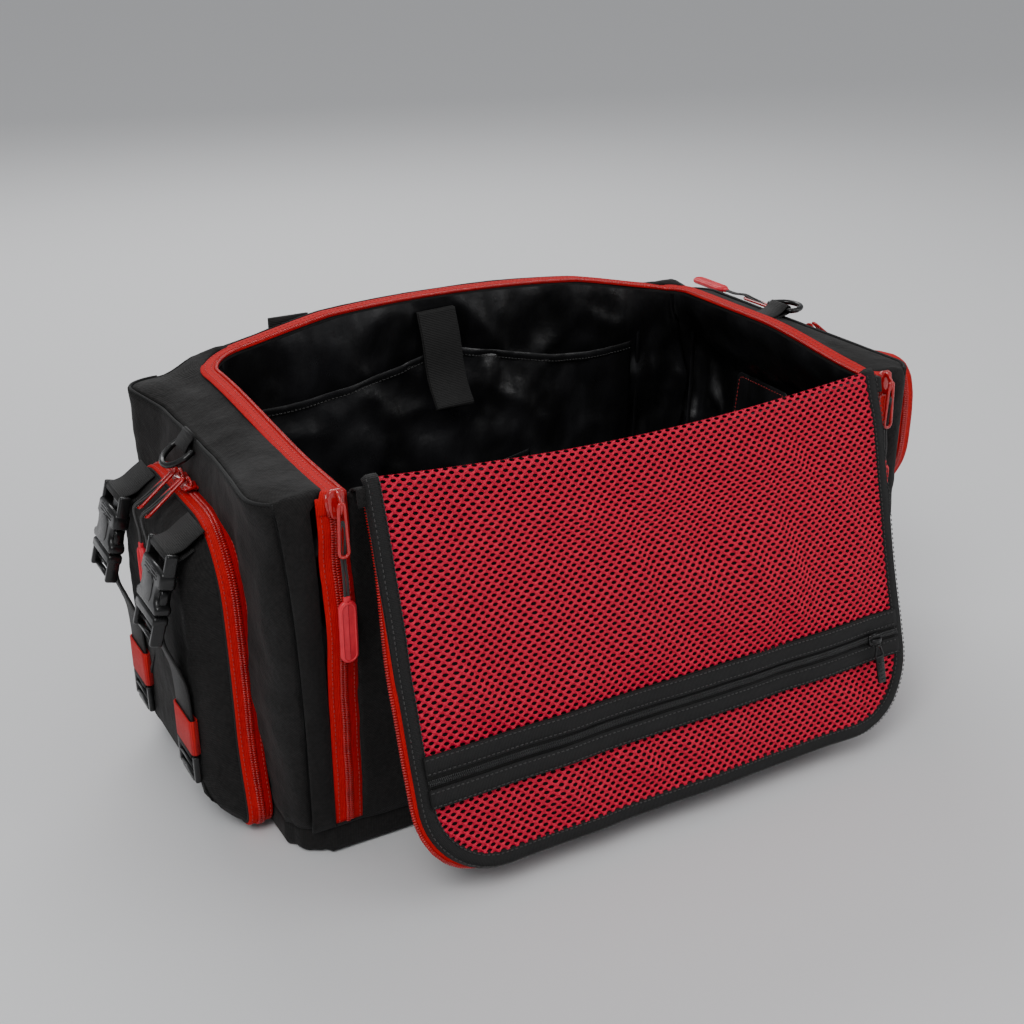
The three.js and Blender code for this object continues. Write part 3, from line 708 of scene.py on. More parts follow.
# --- Camera, light and floor ---------------------------------------------------------------------


def add_camera():
    flat = math.cos(CAMERA_RISE)
    back = Vector((math.sin(CAMERA_TURN) * flat, -math.cos(CAMERA_TURN) * flat,
                   math.sin(CAMERA_RISE)))
    data = bpy.data.cameras.new("camera")
    data.lens = 50
    data.sensor_width = 36
    camera = bpy.data.objects.new("camera", data)
    camera.location = CAMERA_PLACE
    camera.rotation_euler = back.to_track_quat("Z", "Y").to_euler()
    bpy.context.scene.collection.objects.link(camera)
    bpy.context.scene.camera = camera


def add_light(name, place, target, size, power):
    data = bpy.data.lights.new(name, "AREA")
    data.shape = "RECTANGLE"
    data.size, data.size_y = size
    data.energy = power
    light = bpy.data.objects.new(name, data)
    light.location = place
    aim = Vector(target) - Vector(place)
    light.rotation_euler = aim.to_track_quat("-Z", "Y").to_euler()
    bpy.context.scene.collection.objects.link(light)


def add_studio():
    mesh = bpy.data.meshes.new("floor")
    corners = [(x * FLOOR_HALF, y * FLOOR_HALF, 0) for x, y in ((-1, -1), (1, -1), (1, 1), (-1, 1))]
    mesh.from_pydata(corners, [], [(0, 1, 2, 3)])
    floor = bpy.data.objects.new("floor", mesh)
    bpy.context.scene.collection.objects.link(floor)
    shader = Shader("floor_paint", 0.85, Specular_IOR_Level=0.2)
    shader.surface.inputs["Base Color"].default_value = (0.78, 0.78, 0.79, 1)
    mesh.materials.append(shader.material)
    floor.location.z = -0.5 * MM
    world = bpy.data.worlds.new("studio")
    world.use_nodes = True
    world.node_tree.nodes["Background"].inputs[0].default_value = (0.9, 0.92, 0.95, 1)
    world.node_tree.nodes["Background"].inputs[1].default_value = 0.30
    bpy.context.scene.world = world
    sky = bpy.data.lights.new("sky_panel", "SUN")
    sky.energy = 0.55
    sky.angle = math.radians(80)
    bpy.context.scene.collection.objects.link(bpy.data.objects.new("sky_panel", sky))
    for light in LIGHTS:
        add_light(*light)


# --- Base, walls and shoulders -------------------------------------------------------------------


def base_cloth():
    """The base: one cloth tray with soft edges, wrapping up the walls to its seam."""
    levels = [(12, 0.2), (6, 0.4), (2.6, 1.2), (1, 3.2), (0.3, 7), (0, 12), (0, 19), (0, 24.8)]
    rings = []
    for inset, z in levels:
        outline = on_wall(ALL_ROUND, z * MM, -inset * MM, 0.4)
        outline[:, 2] = np.maximum(outline[:, 2], z * MM * 0.98)
        rings.append(outline)

    def inside(ring, rise):
        return ring + (np.array([0, 0, 0.03]) - ring) * [0.008, 0.014, 0.0] + [0, 0, rise]

    inner = [inside(ring, 2.2 * MM) for ring in rings[:-1]]
    points = np.array(rings + [inside(rings[-1], 0.0)] + inner[::-1])
    flat = points.reshape(-1, 3)
    part = (flat, tube_faces(*points.shape[:2]), flat[:, :2] + flat[:, 2:])
    obj = collect("base_panel_cloth", [part], "cordura", "bag", "base_panel")


def body_panels():
    """The front, back and end panels."""
    def level(x):
        return HEIGHT - 1 * MM

    def back_top(x):
        return rim_height(x) - 1 * MM

    half = FRONT_ZIP_X - FRONT_ZIP_HALF + 1 * MM
    wall_panel("front_panel_cloth", -half, half, level, "front_panel")
    for name, first, last, top, node, extra in (
            ("right_end_cloth", "front_right", "back_right", level, "right_end_panel", 0.0),
            ("left_end_cloth", "back_left", "front_left", level, "left_end_panel", 0.0),
            ("back_panel_cloth", "back_right", "back_left", back_top, "back_panel", 12 * MM)):
        first, last = SEAMS[first], SEAMS[last]
        wall_panel(name, first, last, top, node)


def mouth_path(inset, step=3 * MM):
    """The mouth's edge seen from above, from the left of the front round the back to the right."""
    radius = MOUTH_CORNER - inset
    x, y = MOUTH_HALF_LENGTH - inset, MOUTH_BACK - inset
    left = [(-x, -HALF_DEPTH), (-x, y - radius)]
    left += arc_points((-x + radius, y - radius), radius, 180, 90)
    right = [(-px, py) for px, py in reversed(left)]
    return resample(left + right, step)


def on_rim(inset, drop):
    """The mouth's edge in space, settled, at the rim's height less drop."""
    flat = mouth_path(inset)
    z = rim_height(flat[:, 0]) - drop
    return settle(np.column_stack([flat, z]))


def shoulder(side):
    """The panel beside the zip: up the front, over the edge and back along the top."""
    sign = -1 if side == "left" else 1
    zip_edge = FRONT_ZIP_X + FRONT_ZIP_HALF
    seam_x = HALF_LENGTH - CORNER_SEAM_FRONT
    bend = 10 * MM
    rows_inner, rows_outer = [], []
    for z in np.linspace(BASE_WRAP, HEIGHT - bend, 58):
        rows_inner.append((zip_edge, -HALF_DEPTH, z))
        rows_outer.append((seam_x, -HALF_DEPTH, z))
    mouth_x = MOUTH_HALF_LENGTH - 3 * MM
    for turn in np.radians([20, 40, 60, 80]):
        y = -HALF_DEPTH + bend * (1 - math.cos(turn))
        z = HEIGHT - bend + bend * math.sin(turn)
        share = turn / (math.pi / 2)
        rows_inner.append((zip_edge + (mouth_x - zip_edge) * share, y, z))
        rows_outer.append((seam_x, -HALF_DEPTH + 5 * MM * share, z))
    inner = [(mouth_x, -HALF_DEPTH + bend + 2 * MM), (mouth_x, MOUTH_BACK - MOUTH_CORNER)]
    inner += arc_points((MOUTH_HALF_LENGTH - MOUTH_CORNER, MOUTH_BACK - MOUTH_CORNER),
                        MOUTH_CORNER - 3 * MM, 0, 78)
    corner_x, corner_y = HALF_LENGTH - BODY_CORNER, HALF_DEPTH - BODY_CORNER
    outer = arc_points((corner_x, -corner_y), BODY_CORNER - 1.5 * MM, -58, 0)
    outer.append((HALF_LENGTH - 3 * MM, corner_y))
    outer += arc_points((corner_x, corner_y), BODY_CORNER - 2 * MM, 0, 90)
    outer.append((MOUTH_HALF_LENGTH - 42 * MM, HALF_DEPTH - 2 * MM))
    inner, outer = resample(inner, 1 * MM), resample(outer, 1 * MM)
    for share in np.linspace(0, 1, 76):
        a = inner[int(share * (len(inner) - 1))]
        b = outer[int(share * (len(outer) - 1))]
        rows_inner.append((a[0], a[1], rim_height(a[0])))
        rows_outer.append((b[0], b[1], rim_height(b[0]) - 0.5 * MM))
    inner, outer = np.array(rows_inner), np.array(rows_outer)
    across = np.linspace(0, 1, 12)[None, :, None]
    flat = inner[:, None] * (1 - across) + outer[:, None] * across
    normals = grid_normals(flat)
    down = run_length(flat[:, 5])
    crown = 2.6 * MM * np.sin(np.pi * across) ** 0.8
    pucker = ripple(flat * [sign, 1, 1], 34 * MM, 7.0 + sign)[..., None] * 1.6 * MM
    ends = np.clip(np.minimum(down, down[-1] - down) / (15 * MM), 0, 1)[:, None, None]
    facing = np.where(normals[..., 2:] - normals[..., 1:2] < 0, -1.0, 1.0)
    points = flat + normals * facing * (crown + pucker * np.sin(np.pi * across)) * ends
    points[..., 0] *= sign
    uvs = np.stack(np.broadcast_arrays(across[..., 0] * 32 * MM, down[:, None]), axis=-1)
    obj = collect(f"{side}_shoulder_cloth",
                  [sheet_parts(settle(points), uvs, 2.2 * MM, flip=sign > 0)], "cordura", "bag",
                  f"{side}_shoulder_panel")


def piping():
    """Covered cord sewn into the seams."""
    s = np.linspace(0, BODY.length, 400)[:-1]
    cord_along("base_piping", on_wall(s, BASE_WRAP, 1.2 * MM), closed=True)
    top = HEIGHT - 0.5 * MM
    for name, place in SEAMS.items():
        cord_along(f"{name}_piping", on_wall(place, np.linspace(BASE_WRAP, top, 70), 0.4 * MM))
    for side in ("left", "right"):
        first, last = sorted((SEAMS["front_" + side], SEAMS["back_" + side]))
        cord_along(f"{side}_top_piping", on_wall(np.linspace(first, last, 110), top, 0.2 * MM))


def seam_stitches():
    """Top stitching beside the seams, which shows as small dark threads."""
    parts = []
    for name, place in SEAMS.items():
        toward = 1 if name in ("front_right", "back_left") else -1
        z = np.linspace(BASE_WRAP + 6 * MM, HEIGHT - 10 * MM, 90)
        parts += stitch_parts(*wall_line(place + toward * 6.5 * MM, z, 0.1 * MM))
    s = np.linspace(0, BODY.length, 500)
    parts += stitch_parts(*wall_line(s, BASE_WRAP + 6 * MM, 0.1 * MM))
    collect("body_top_stitching", parts, "stitch_black", "bag")


# --- Zips ----------------------------------------------------------------------------------------


def tooth_parts(path, side, up, pitch, size, phase=0.0):
    """Small rounded blocks along a path: size is (across, along, high)."""
    side, up = (np.broadcast_to(np.asarray(way, float), path.shape) for way in (side, up))
    along = run_length(path)
    at = np.arange(pitch * (0.5 + phase), along[-1], pitch)
    spots = values_at(at, along, path)
    sides, ups = unit(values_at(at, along, side)), unit(values_at(at, along, up))
    a, b, c = np.array(size) / 2
    taper = 0.62
    corners = np.array([(x * a * share, y * b * share, z * c)
                        for share, z in ((1, -1), (1, 0.3), (taper, 1))
                        for x, y in ((-1, -1), (1, -1), (1, 1), (-1, 1))])
    faces = [(3, 2, 1, 0), (8, 9, 10, 11)]
    for low in (0, 4):
        for k in range(4):
            n = (k + 1) % 4
            faces.append((low + k, low + n, low + 4 + n, low + 4 + k))
    return [(spot + corners @ np.stack([s, f, u]), faces, corners[:, :2])
            for spot, s, f, u in zip(spots, sides, np.cross(ups, sides), ups)]


def closed_chain(name, path, across, up, teeth_up, seam_out, seam_up):
    """Two rows of teeth that meet on a zip's tape, and a line of stitches near each edge."""
    teeth, stitches = [], []
    for row in (-1, 1):
        teeth += tooth_parts(path + across * row * 1.35 * MM + up * teeth_up, across, up,
                             TOOTH_PITCH, (3.4 * MM, 1.25 * MM, 1.8 * MM), 0.5 * (row > 0))
        stitches += stitch_parts(path + across * row * seam_out + up * seam_up, up)
    collect(f"{name}_teeth", teeth, "red_teeth", "bag")
    collect(f"{name}_stitching", stitches, "stitch_red", "bag")


def front_zip(side):
    """The closed chain beside the front panel: red tape, two rows of teeth and two stitch lines."""
    z = np.linspace(BASE_WRAP + 1 * MM, HEIGHT - 1 * MM, 90)
    place = FRONT_ZIP_X if side == "right" else BODY.length - FRONT_ZIP_X
    path, outward = wall_line(place, z, 1.0 * MM, 6 * MM)
    name = f"front_zip_{side}"
    collect(f"{name}_tape", [sweep_parts(path, band(2 * FRONT_ZIP_HALF, 1.6 * MM), outward)],
            "red_tape", "bag", name)
    across = unit(np.cross(np.gradient(path, axis=0), outward))
    closed_chain(name, path, across, outward, 1.6 * MM, 8.6 * MM, 0.8 * MM)


def mouth_zip():
    """The open half of the main zip: red tape round the mouth with its row of teeth inside."""
    half = 7.5 * MM
    centre = on_rim(half, 1.0 * MM)
    inner = on_rim(2 * half, 1.6 * MM)
    at = np.linspace(0, 1, len(centre))
    across = unit(values_at(at, np.linspace(0, 1, len(inner)), inner) - centre)
    up = unit(np.cross(np.gradient(centre, axis=0), across))
    up = up * np.sign(up[:, 2:])
    collect("main_zip_red_tape", [sweep_parts(centre, band(2 * half, 1.6 * MM, 0.3 * MM), up)],
            "red_tape", "bag", "main_zip_tape")
    line = centre + across * (half - 1.2 * MM) + up * 1.2 * MM
    teeth = tooth_parts(line, across, up, TOOTH_PITCH, (3.2 * MM, 1.2 * MM, 1.9 * MM))
    collect("main_zip_teeth", teeth, "red_teeth", "bag")
    stitches = stitch_parts(centre - across * 3.6 * MM + up * 0.9 * MM, up)
    stitches += stitch_parts(centre + across * 2.0 * MM + up * 1.0 * MM, up)
    collect("main_zip_stitching", stitches, "stitch_red", "bag")
    under = centre + across * (half - 1.6 * MM) - up * 6.4 * MM
    collect("mouth_binding", [sweep_parts(under, band(12.5 * MM, 1.8 * MM, 0.2 * MM), across)],
            "grosgrain", "bag")
    rim_x = MOUTH_HALF_LENGTH - half
    bend = offsets((FRONT_ZIP_X, -HALF_DEPTH, HEIGHT), [(0, -2, -13), (0, -2.2, -6),
                                                        (-1, -1.2, -1.6)])
    bend = np.array(bend + offsets((rim_x, -HALF_DEPTH, HEIGHT), [(1, 2.2, 0.3), (0, 9, -0.4)]))
    out = bent([[0, -1, 0.05], [0, -1, 0.3], [0, -0.8, 0.7], [0, -0.2, 1], [0, 0, 1]], 16)
    for side, sign in (("left", -1), ("right", 1)):
        path = settle(bent(bend * [sign, 1, 1], 16))
        turn = sweep_parts(path, band(2 * half, 1.6 * MM), out, scale=np.linspace(1.5, 1.0, 16))
        collect(f"main_zip_{side}_turn", [turn], "red_tape", "bag")


# --- Lining, inner pockets and strap -------------------------------------------------------------


def nearest(points, loop):
    gaps = np.linalg.norm(points[:, None, :] - loop[None, :, :], axis=2)
    return loop[np.argmin(gaps, axis=1)]


def mouth_loop(inset):
    """The whole opening seen from above: the zip's edge, closed by the front panel's edge."""
    back = mouth_path(inset, 1.5 * MM)
    front = resample([back[-1], back[0]], 1.5 * MM) + [0, 3 * MM]
    return np.concatenate([back, front])


def folds(points, amount):
    """Slack folds: soft vertical ones, sharp creases over them and a fine crumple."""
    long_way = ripple(points * [1, 1, 0.35], 52 * MM, 21.0, 2)
    x, y, z = points[..., 0], points[..., 1], points[..., 2]
    turned = np.stack([0.5 * x + 0.9 * z, y, 0.3 * z - 0.6 * x], axis=-1)
    sharp = 1 - np.abs(ripple(turned, 62 * MM, 5.0, 2)) * 3.4
    crumple = ripple(points, 18 * MM, 2.0, 2)
    return amount * (0.4 + 0.7 * long_way + 0.5 * np.clip(sharp, -0.4, 1) + 0.14 * crumple)


def lining_cloth():
    """The slack lining, from the mouth's edge down the walls and over the board."""
    inner = Outline(6 * MM)
    x, y = inner.at(ALL_ROUND * inner.length / BODY.length)
    wall = np.column_stack([x, y])
    top = nearest(wall, mouth_loop(15 * MM))
    inward = unit(np.column_stack([-x * (np.abs(x) > 0.27), -y * (np.abs(y) > 0.13)]) + 1e-9)
    high = np.where(top[:, 1] < -0.13, HEIGHT, rim_height(top[:, 0])) - 4 * MM
    rows = []
    for t in np.linspace(0, 1, 66):
        share = ramp(t, 0, 0.24)
        p = np.column_stack([top * (1 - share) + wall * share, high + (11 * MM - high) * t])
        slack = np.minimum(np.sin(np.pi * min(1, t * 1.2 + 0.02)) * 1.2 + 0.25 * t, 1)
        depth = np.clip(folds(p, 14 * MM), 0, 22 * MM) * slack
        p[:, :2] += inward * depth[:, None]
        rows.append(p)
    for share in (0.03, 0.09, 0.2, 0.36, 0.55, 0.75):
        p = np.column_stack([wall * (1 - share), np.full(len(wall), 10.5 * MM)])
        p[:, 2] += np.clip(folds(p, 4 * MM), 0, 6 * MM)
        rows.append(p)
    flat = settle(np.array(rows)).reshape(-1, 3)
    rings, count = len(rows), len(wall)
    low = (rings - 1) * count
    faces = grid_faces(rings, count, wrap=True) + [tuple(range(low, low + count))]
    part = (flat, [face[::-1] for face in faces], flat[:, :2] + flat[:, 2:])
    obj = collect("lining_cloth", [part], "lining", "bag", "lining")


def wall_sheet(name, x_low, x_high, top, depth, bulge, *nodes):
    """A slip pocket on the back wall, sewn at its sides and foot, slack at its open top."""
    z_low = 16 * MM
    x = np.linspace(x_low, x_high, int((x_high - x_low) / (4 * MM)))
    t = np.linspace(1, 0, 58)[:, None]
    z = z_low + (top(x)[None, :] - z_low) * t
    xs = np.broadcast_to(x[None, :], z.shape)
    sides = np.sin(np.pi * (x - x_low) / (x_high - x_low))[None, :] ** 0.4
    flat = np.stack([xs, np.full_like(z, HALF_DEPTH - depth), z], axis=-1)
    flat[..., 1] -= np.clip(folds(flat + [3, 0, 0], bulge), 0, 1.7 * bulge) * sides \
        * ramp(t, 0, 0.12)
    points = settle(flat)
    obj = collect(name, [sheet_parts(points, np.stack([xs, z], axis=-1), 0.8 * MM)], "lining",
                  "bag", *nodes)
    edge = points[0] + [0, -0.6 * MM, -3.2 * MM]
    collect(f"{name}_hem", [sweep_parts(edge, band(9 * MM, 0.5 * MM), [0, -1, -0.15])], "lining",
            "bag")
    line = points[0] + [0, -1.3 * MM, -5.6 * MM]
    collect(f"{name}_hem_stitching", stitch_parts(line, [0, -1, 0], 2.2 * MM), "stitch_black",
            "bag")


def inner_pockets():
    """A wide slip pocket with a drooping top, and a lower one in front of it."""
    def high_top(x):
        droop = 8 * MM * arch(x + 0.1265, 0.165) + 13 * MM * arch(x - 0.093, 0.196)
        return rim_height(x) - 46 * MM - droop

    def low_top(x):
        return 178 * MM - 10 * MM * np.cos(np.pi * (x + 0.01) / 0.16)

    wall_sheet("inner_slip_pocket", -0.209, 0.191, high_top, 24 * MM, 7 * MM, "inner_pockets")
    wall_sheet("inner_low_pocket", -0.088, 0.066, low_top, 37 * MM, 5 * MM)


def inner_strap():
    """A short loop of webbing hanging from the back rim."""
    low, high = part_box("inner_strap")
    x = (low.x + high.x) / 2
    drop = high.z - low.z
    t = np.linspace(0, 1, 40)
    y = high.y - 5 * MM - 30 * MM * t ** 1.4 - 3 * MM * np.sin(2 * np.pi * t)
    path = settle(np.column_stack([x + 3 * MM * t, y - 12 * MM,
                                   high.z - 8 * MM - (drop - 4 * MM) * t]))
    loop = np.concatenate([path, [path[-1] + [0, 1.6 * MM, -2.2 * MM]],
                           path[::-1] + [0, 3.2 * MM, 0]])
    normals = np.repeat([[0, -1, 0], [0, 0, -1], [0, 1, 0]], [40, 1, 40], axis=0)
    obj = collect("inner_strap_webbing", [sweep_parts(loop, band(WEBBING, 1.7 * MM), normals)],
                  "webbing", "bag", "inner_strap")


def lining_seams():
    """Bound seams down the lining, and a plain sewn patch on the right wall."""
    parts = []
    for x in (0.205, 0.262):
        z = np.linspace(20 * MM, 292 * MM, 70)
        y = HALF_DEPTH - 17 * MM - 3 * MM * np.sin(z / 0.05) - 16 * MM * (x > 0.23)
        path = settle(np.column_stack([x + 2 * MM * np.sin(z / 0.03), y, z]))
        parts.append(sweep_parts(path, band(5 * MM, 1.6 * MM, 0.4 * MM), [0, -1, 0]))
    collect("lining_seam_bindings", parts, "lining", "bag")
    place = settle(np.array([HALF_LENGTH - 24 * MM, 22 * MM, 208 * MM]))
    x_axis, y_axis = unit([0, 1, 0.02]), unit([0.10, 0, 1])
    outline = stadium(38 * MM, -30 * MM, 30 * MM, 6 * MM)
    patch = plate_parts(outline, 1.2 * MM, 0.5 * MM, place, x_axis, y_axis)
    collect("lining_patch", [patch], "lining", "bag")
    ring = np.array(stadium(34 * MM, -26 * MM, 26 * MM, 5 * MM, 9))
    ring = resample(np.concatenate([ring, ring[:1]]), 2 * MM)
    toward = np.cross(x_axis, y_axis)
    toward = -toward if toward[0] > 0 else toward
    path = place + ring[:, :1] * x_axis + ring[:, 1:] * y_axis + toward * 0.7 * MM
    collect("lining_patch_stitching", stitch_parts(path, toward), "stitch_red", "bag")


def base_board():
    """The stiff board under the lining, with rounded corners."""
    low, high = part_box("base_board")
    outline = rounded_loop(high.x - 5 * MM, low.y + 5 * MM, high.y - 5 * MM, 30 * MM, 30 * MM)[:-1]
    board = plate_parts(outline, high.z - low.z, 0.6 * MM, (0, 0, (high.z + low.z) / 2),
                        (1, 0, 0), (0, 1, 0))
    collect("base_board_skin", [board], "board", "bag", "base_board")


# --- Lid -----------------------------------------------------------------------------------------

LID_PIVOT = np.array(JOINTS["lid_hinge"]["pos_m"])
LID_DOWN = np.array([0.0, -math.sin(LID_TILT), -math.cos(LID_TILT)])
LID_OUT = np.array([0.0, -math.cos(LID_TILT), math.sin(LID_TILT)])
LID_ROLL = 7 * MM


def on_lid(u, v, w):
    """A point on the hanging lid: u across, v down from the hinge, w out of its lined face."""
    u, v, w = np.broadcast_arrays(*(np.asarray(q, float) for q in (u, v, w)))
    across = arch(u, 2 * LID_HALF_WIDTH)
    bow = 4.5 * MM * arch(v - 110 * MM, 220 * MM) * across
    seed = np.stack([u, v * 0.8, 0 * u], axis=-1)
    shallow = ripple(seed, 85 * MM, 31.0, 2) * 3.6 * MM * ramp(v, 0, 40 * MM)
    edge = ramp(v, 255 * MM, 60 * MM)
    curl = edge * (3.0 * MM - 5 * MM * np.sin(u / (70 * MM)) ** 2 * across)
    over = np.clip(-v, 0, LID_ROLL) / LID_ROLL
    w = w + bow + shallow + curl - LID_ROLL * (1 - np.cos(over))
    v = np.where(v < 0, -LID_ROLL * np.sin(over), v)
    sag = front_sag(u) * (1 - ramp(v, 0, 110 * MM))
    return LID_PIVOT + np.stack([u, 0 * u, -sag], axis=-1) + v[..., None] * LID_DOWN \
        + w[..., None] * LID_OUT


def lid_path(inset, start):
    """Round the lid's free edge, from the hinge on the left to the hinge on the right."""
    radius = LID_CORNER - inset
    half, length = LID_HALF_WIDTH - inset, LID_LENGTH - inset
    left = [(-half, start), (-half, length - radius)]
    left += arc_points((-half + radius, length - radius), radius, 180, 90)
    right = [(-u, v) for u, v in reversed(left)]
    return resample(left + right, 4 * MM)


def lid_half_width(v, inset):
    """Half the lid's width at a place down it, with its rounded corners."""
    radius, length = LID_CORNER - inset, LID_LENGTH - inset
    into = np.clip(v - (length - radius), 0, radius)
    return LID_HALF_WIDTH - inset - radius + np.sqrt(np.maximum(radius**2 - into**2, 0))


def on_lid_path(inset, w, start):
    """The lid's edge in space, with the ways out of the edge and out of its lined face."""
    flat = lid_path(inset, start)
    path = on_lid(flat[:, 0], flat[:, 1], w)
    up = unit(on_lid(flat[:, 0], flat[:, 1], w + 1 * MM) - path)
    side = unit(np.cross(np.gradient(path, axis=0), up))
    middle = on_lid(0.0, 150 * MM, w)
    outward = np.sign(np.sum(side * (path - middle), axis=1, keepdims=True))
    return path, side * outward, up


def lid_panel():
    inset = 4 * MM
    length = LID_LENGTH - inset
    turns = np.linspace(0, np.pi / 2, 14)[1:]
    straight = np.linspace(0, length - LID_CORNER + inset, 52)
    rounded = length - (LID_CORNER - inset) * (1 - np.sin(turns * 0.985))
    v = np.concatenate([straight, rounded])
    t = np.linspace(-1, 1, 104)
    u = lid_half_width(v, inset)[:, None] * t[None, :]
    vs = np.broadcast_to(v[:, None], u.shape)
    points = on_lid(u, vs, -0.2 * MM)
    uvs = np.stack([u, vs], axis=-1)
    obj = collect("lid_panel_cloth", [sheet_parts(points, uvs, 2.6 * MM)], "cordura", "lid",
                  "lid_panel")


def lid_net():
    """The knitted net: staggered oval holes, a ten-sided ring of yarn round each."""
    pitch, row = 7.7 * MM, 3.5 * MM
    hole = np.array([2.42 * MM, 1.36 * MM])
    cell = np.array([(3.517, 0), (1.93, 1.75), (0.335, 3.5), (-0.335, 3.5), (-1.93, 1.75),
                     (-3.517, 0), (-1.93, -1.75), (-0.335, -3.5), (0.335, -3.5), (1.93, -1.75)])
    cell = cell * MM
    turns = np.arctan2(cell[:, 1] / hole[1], cell[:, 0] / hole[0])
    rim = np.stack([hole[0] * np.cos(turns), hole[1] * np.sin(turns)], axis=1)
    sides = len(cell)
    strip_low = LID_STRIP_OFFSET - LID_STRIP_WIDTH / 2 + 6 * MM
    strip_high = LID_STRIP_OFFSET + LID_STRIP_WIDTH / 2 - 6 * MM
    centres = []
    for j in range(-3, int(LID_LENGTH / row)):
        v = (j + 0.5) * row
        if strip_low < v < strip_high or v > LID_LENGTH - NET_INSET:
            continue
        half = float(lid_half_width(v, NET_INSET))
        shift = pitch / 2 if j % 2 else 0.0
        for i in range(-int(half / pitch) - 1, int(half / pitch) + 2):
            u = i * pitch + shift
            if abs(u) < half:
                centres.append((u, v))
    centres = np.array(centres)
    outer = centres[:, None, :] + cell[None]
    inner = centres[:, None, :] + rim[None]
    both = np.concatenate([outer, inner], axis=1)
    u, v = both[..., 0], both[..., 1]
    wander = ripple(np.stack([u, v, 0 * u], axis=-1), 60 * MM, 9.0, 2)
    depth = np.concatenate([np.full(sides, 3.4 * MM), np.full(sides, 2.6 * MM)])
    slant = np.stack([1.5 * u - 0.8 * v, 0.5 * v + 0.3 * u, 0 * u], axis=-1)
    slack = 1.0
    for away, reach in ((LID_HALF_WIDTH - 20 * MM - np.abs(u), 40 * MM),
                        (v - 10 * MM, 60 * MM), (LID_LENGTH - 20 * MM - v, 20 * MM),
                        (np.abs(v - LID_STRIP_OFFSET) - 18 * MM, 26 * MM)):
        slack = slack * ramp(away, 0, reach)
    gather = np.clip(0.2 + ripple(slant, 62 * MM, 13.0, 2) * 1.4, 0, 1) * 5 * MM * slack
    points = on_lid(u + wander * 1.6 * MM, v + wander * 1.2 * MM, depth[None] + gather)
    faces = []
    for k in range(len(centres)):
        start = k * 2 * sides
        for a in range(sides):
            b = (a + 1) % sides
            faces.append((start + a, start + b, start + sides + b, start + sides + a))
    part = (points.reshape(-1, 3), faces, both.reshape(-1, 2))
    obj = collect("lid_net_cloth", [part], "net", "lid", "lid_mesh")


def lid_edge():
    """The ribbed binding, the red tape with its teeth that turns over, and a strip behind."""
    path, outward, up = on_lid_path(10.8 * MM, 0.6 * MM, start=-LID_ROLL)
    collect("lid_edge_binding", [sweep_parts(path, band(13.5 * MM, 7.6 * MM, 0.3 * MM), up)],
            "grosgrain", "lid", "lid_binding")
    lines = []
    for shift in (-4.2 * MM, 4.6 * MM):
        line = path + outward * shift + up * 4.1 * MM
        lines += stitch_parts(line, up, LID_STITCH, LID_STITCH_GAP)
    collect("lid_binding_stitching", lines, "stitch_black", "lid")
    path, outward, up = on_lid_path(7.6 * MM, 0.2 * MM, start=8 * MM)
    share = np.linspace(0, 1, len(path))[:, None]
    shown = ramp(share, 0.04, 0.12) * (1 - ramp(share, 0.26, 0.07))
    fold = np.radians(84 - 66 * shown)
    outward, up = (outward * np.cos(fold) - up * np.sin(fold),
                   up * np.cos(fold) + outward * np.sin(fold))
    path = path + outward * 3.4 * MM
    collect("lid_zip_red_tape", [sweep_parts(path, band(10 * MM, 1.5 * MM), up)], "red_tape",
            "lid", "lid_zip_tape")
    teeth = tooth_parts(path + outward * 4.2 * MM + up * 0.9 * MM, outward, up, TOOTH_PITCH,
                        (3.0 * MM, 1.2 * MM, 1.8 * MM))
    collect("lid_zip_teeth", teeth, "red_teeth", "lid")
    path, outward, up = on_lid_path(12.0 * MM, -3.4 * MM, start=6 * MM)
    collect("lid_back_binding", [sweep_parts(path, band(15 * MM, 1.2 * MM), up)], "grosgrain",
            "lid")


def lid_pocket_zip():
    """The black zip across the net: tape, two folded edges, a coil and its stop stitches."""
    half = float(lid_half_width(LID_STRIP_OFFSET, NET_INSET))
    u = np.linspace(-half, half, 110)
    middle = np.full_like(u, LID_STRIP_OFFSET)

    def along(v, w):
        return on_lid(u, middle + v, w)

    up = unit(along(0, 6 * MM) - along(0, 4 * MM))
    down = unit(along(3 * MM, 5 * MM) - along(-3 * MM, 5 * MM))
    tape = sweep_parts(along(0, 4.6 * MM), band(LID_STRIP_WIDTH, 1.2 * MM), up)
    collect("lid_pocket_zip_tape", [tape], "black_tape", "lid", "lid_pocket_zip")
    folded = [sweep_parts(along(side * 12 * MM, 5.8 * MM), band(14.5 * MM, 1.5 * MM, 0.5 * MM), up)
              for side in (-1, 1)]
    collect("lid_pocket_zip_edges", folded, "grosgrain", "lid")
    coil = []
    for side in (-1, 1):
        line = along(side * 1.1 * MM, 5.9 * MM)
        coil += tooth_parts(line, down, up, 1.5 * MM, (2.6 * MM, 0.9 * MM, 1.5 * MM),
                            0.5 * (side > 0))
    collect("lid_pocket_zip_coil", coil, "black_teeth", "lid")
    lines = []
    for v in (-17.4 * MM, 17.4 * MM, -7.0 * MM, 7.0 * MM):
        lines += stitch_parts(along(v, 6.9 * MM), up, LID_STITCH, LID_STITCH_GAP)
    collect("lid_pocket_zip_stitching", lines, "stitch_black", "lid")


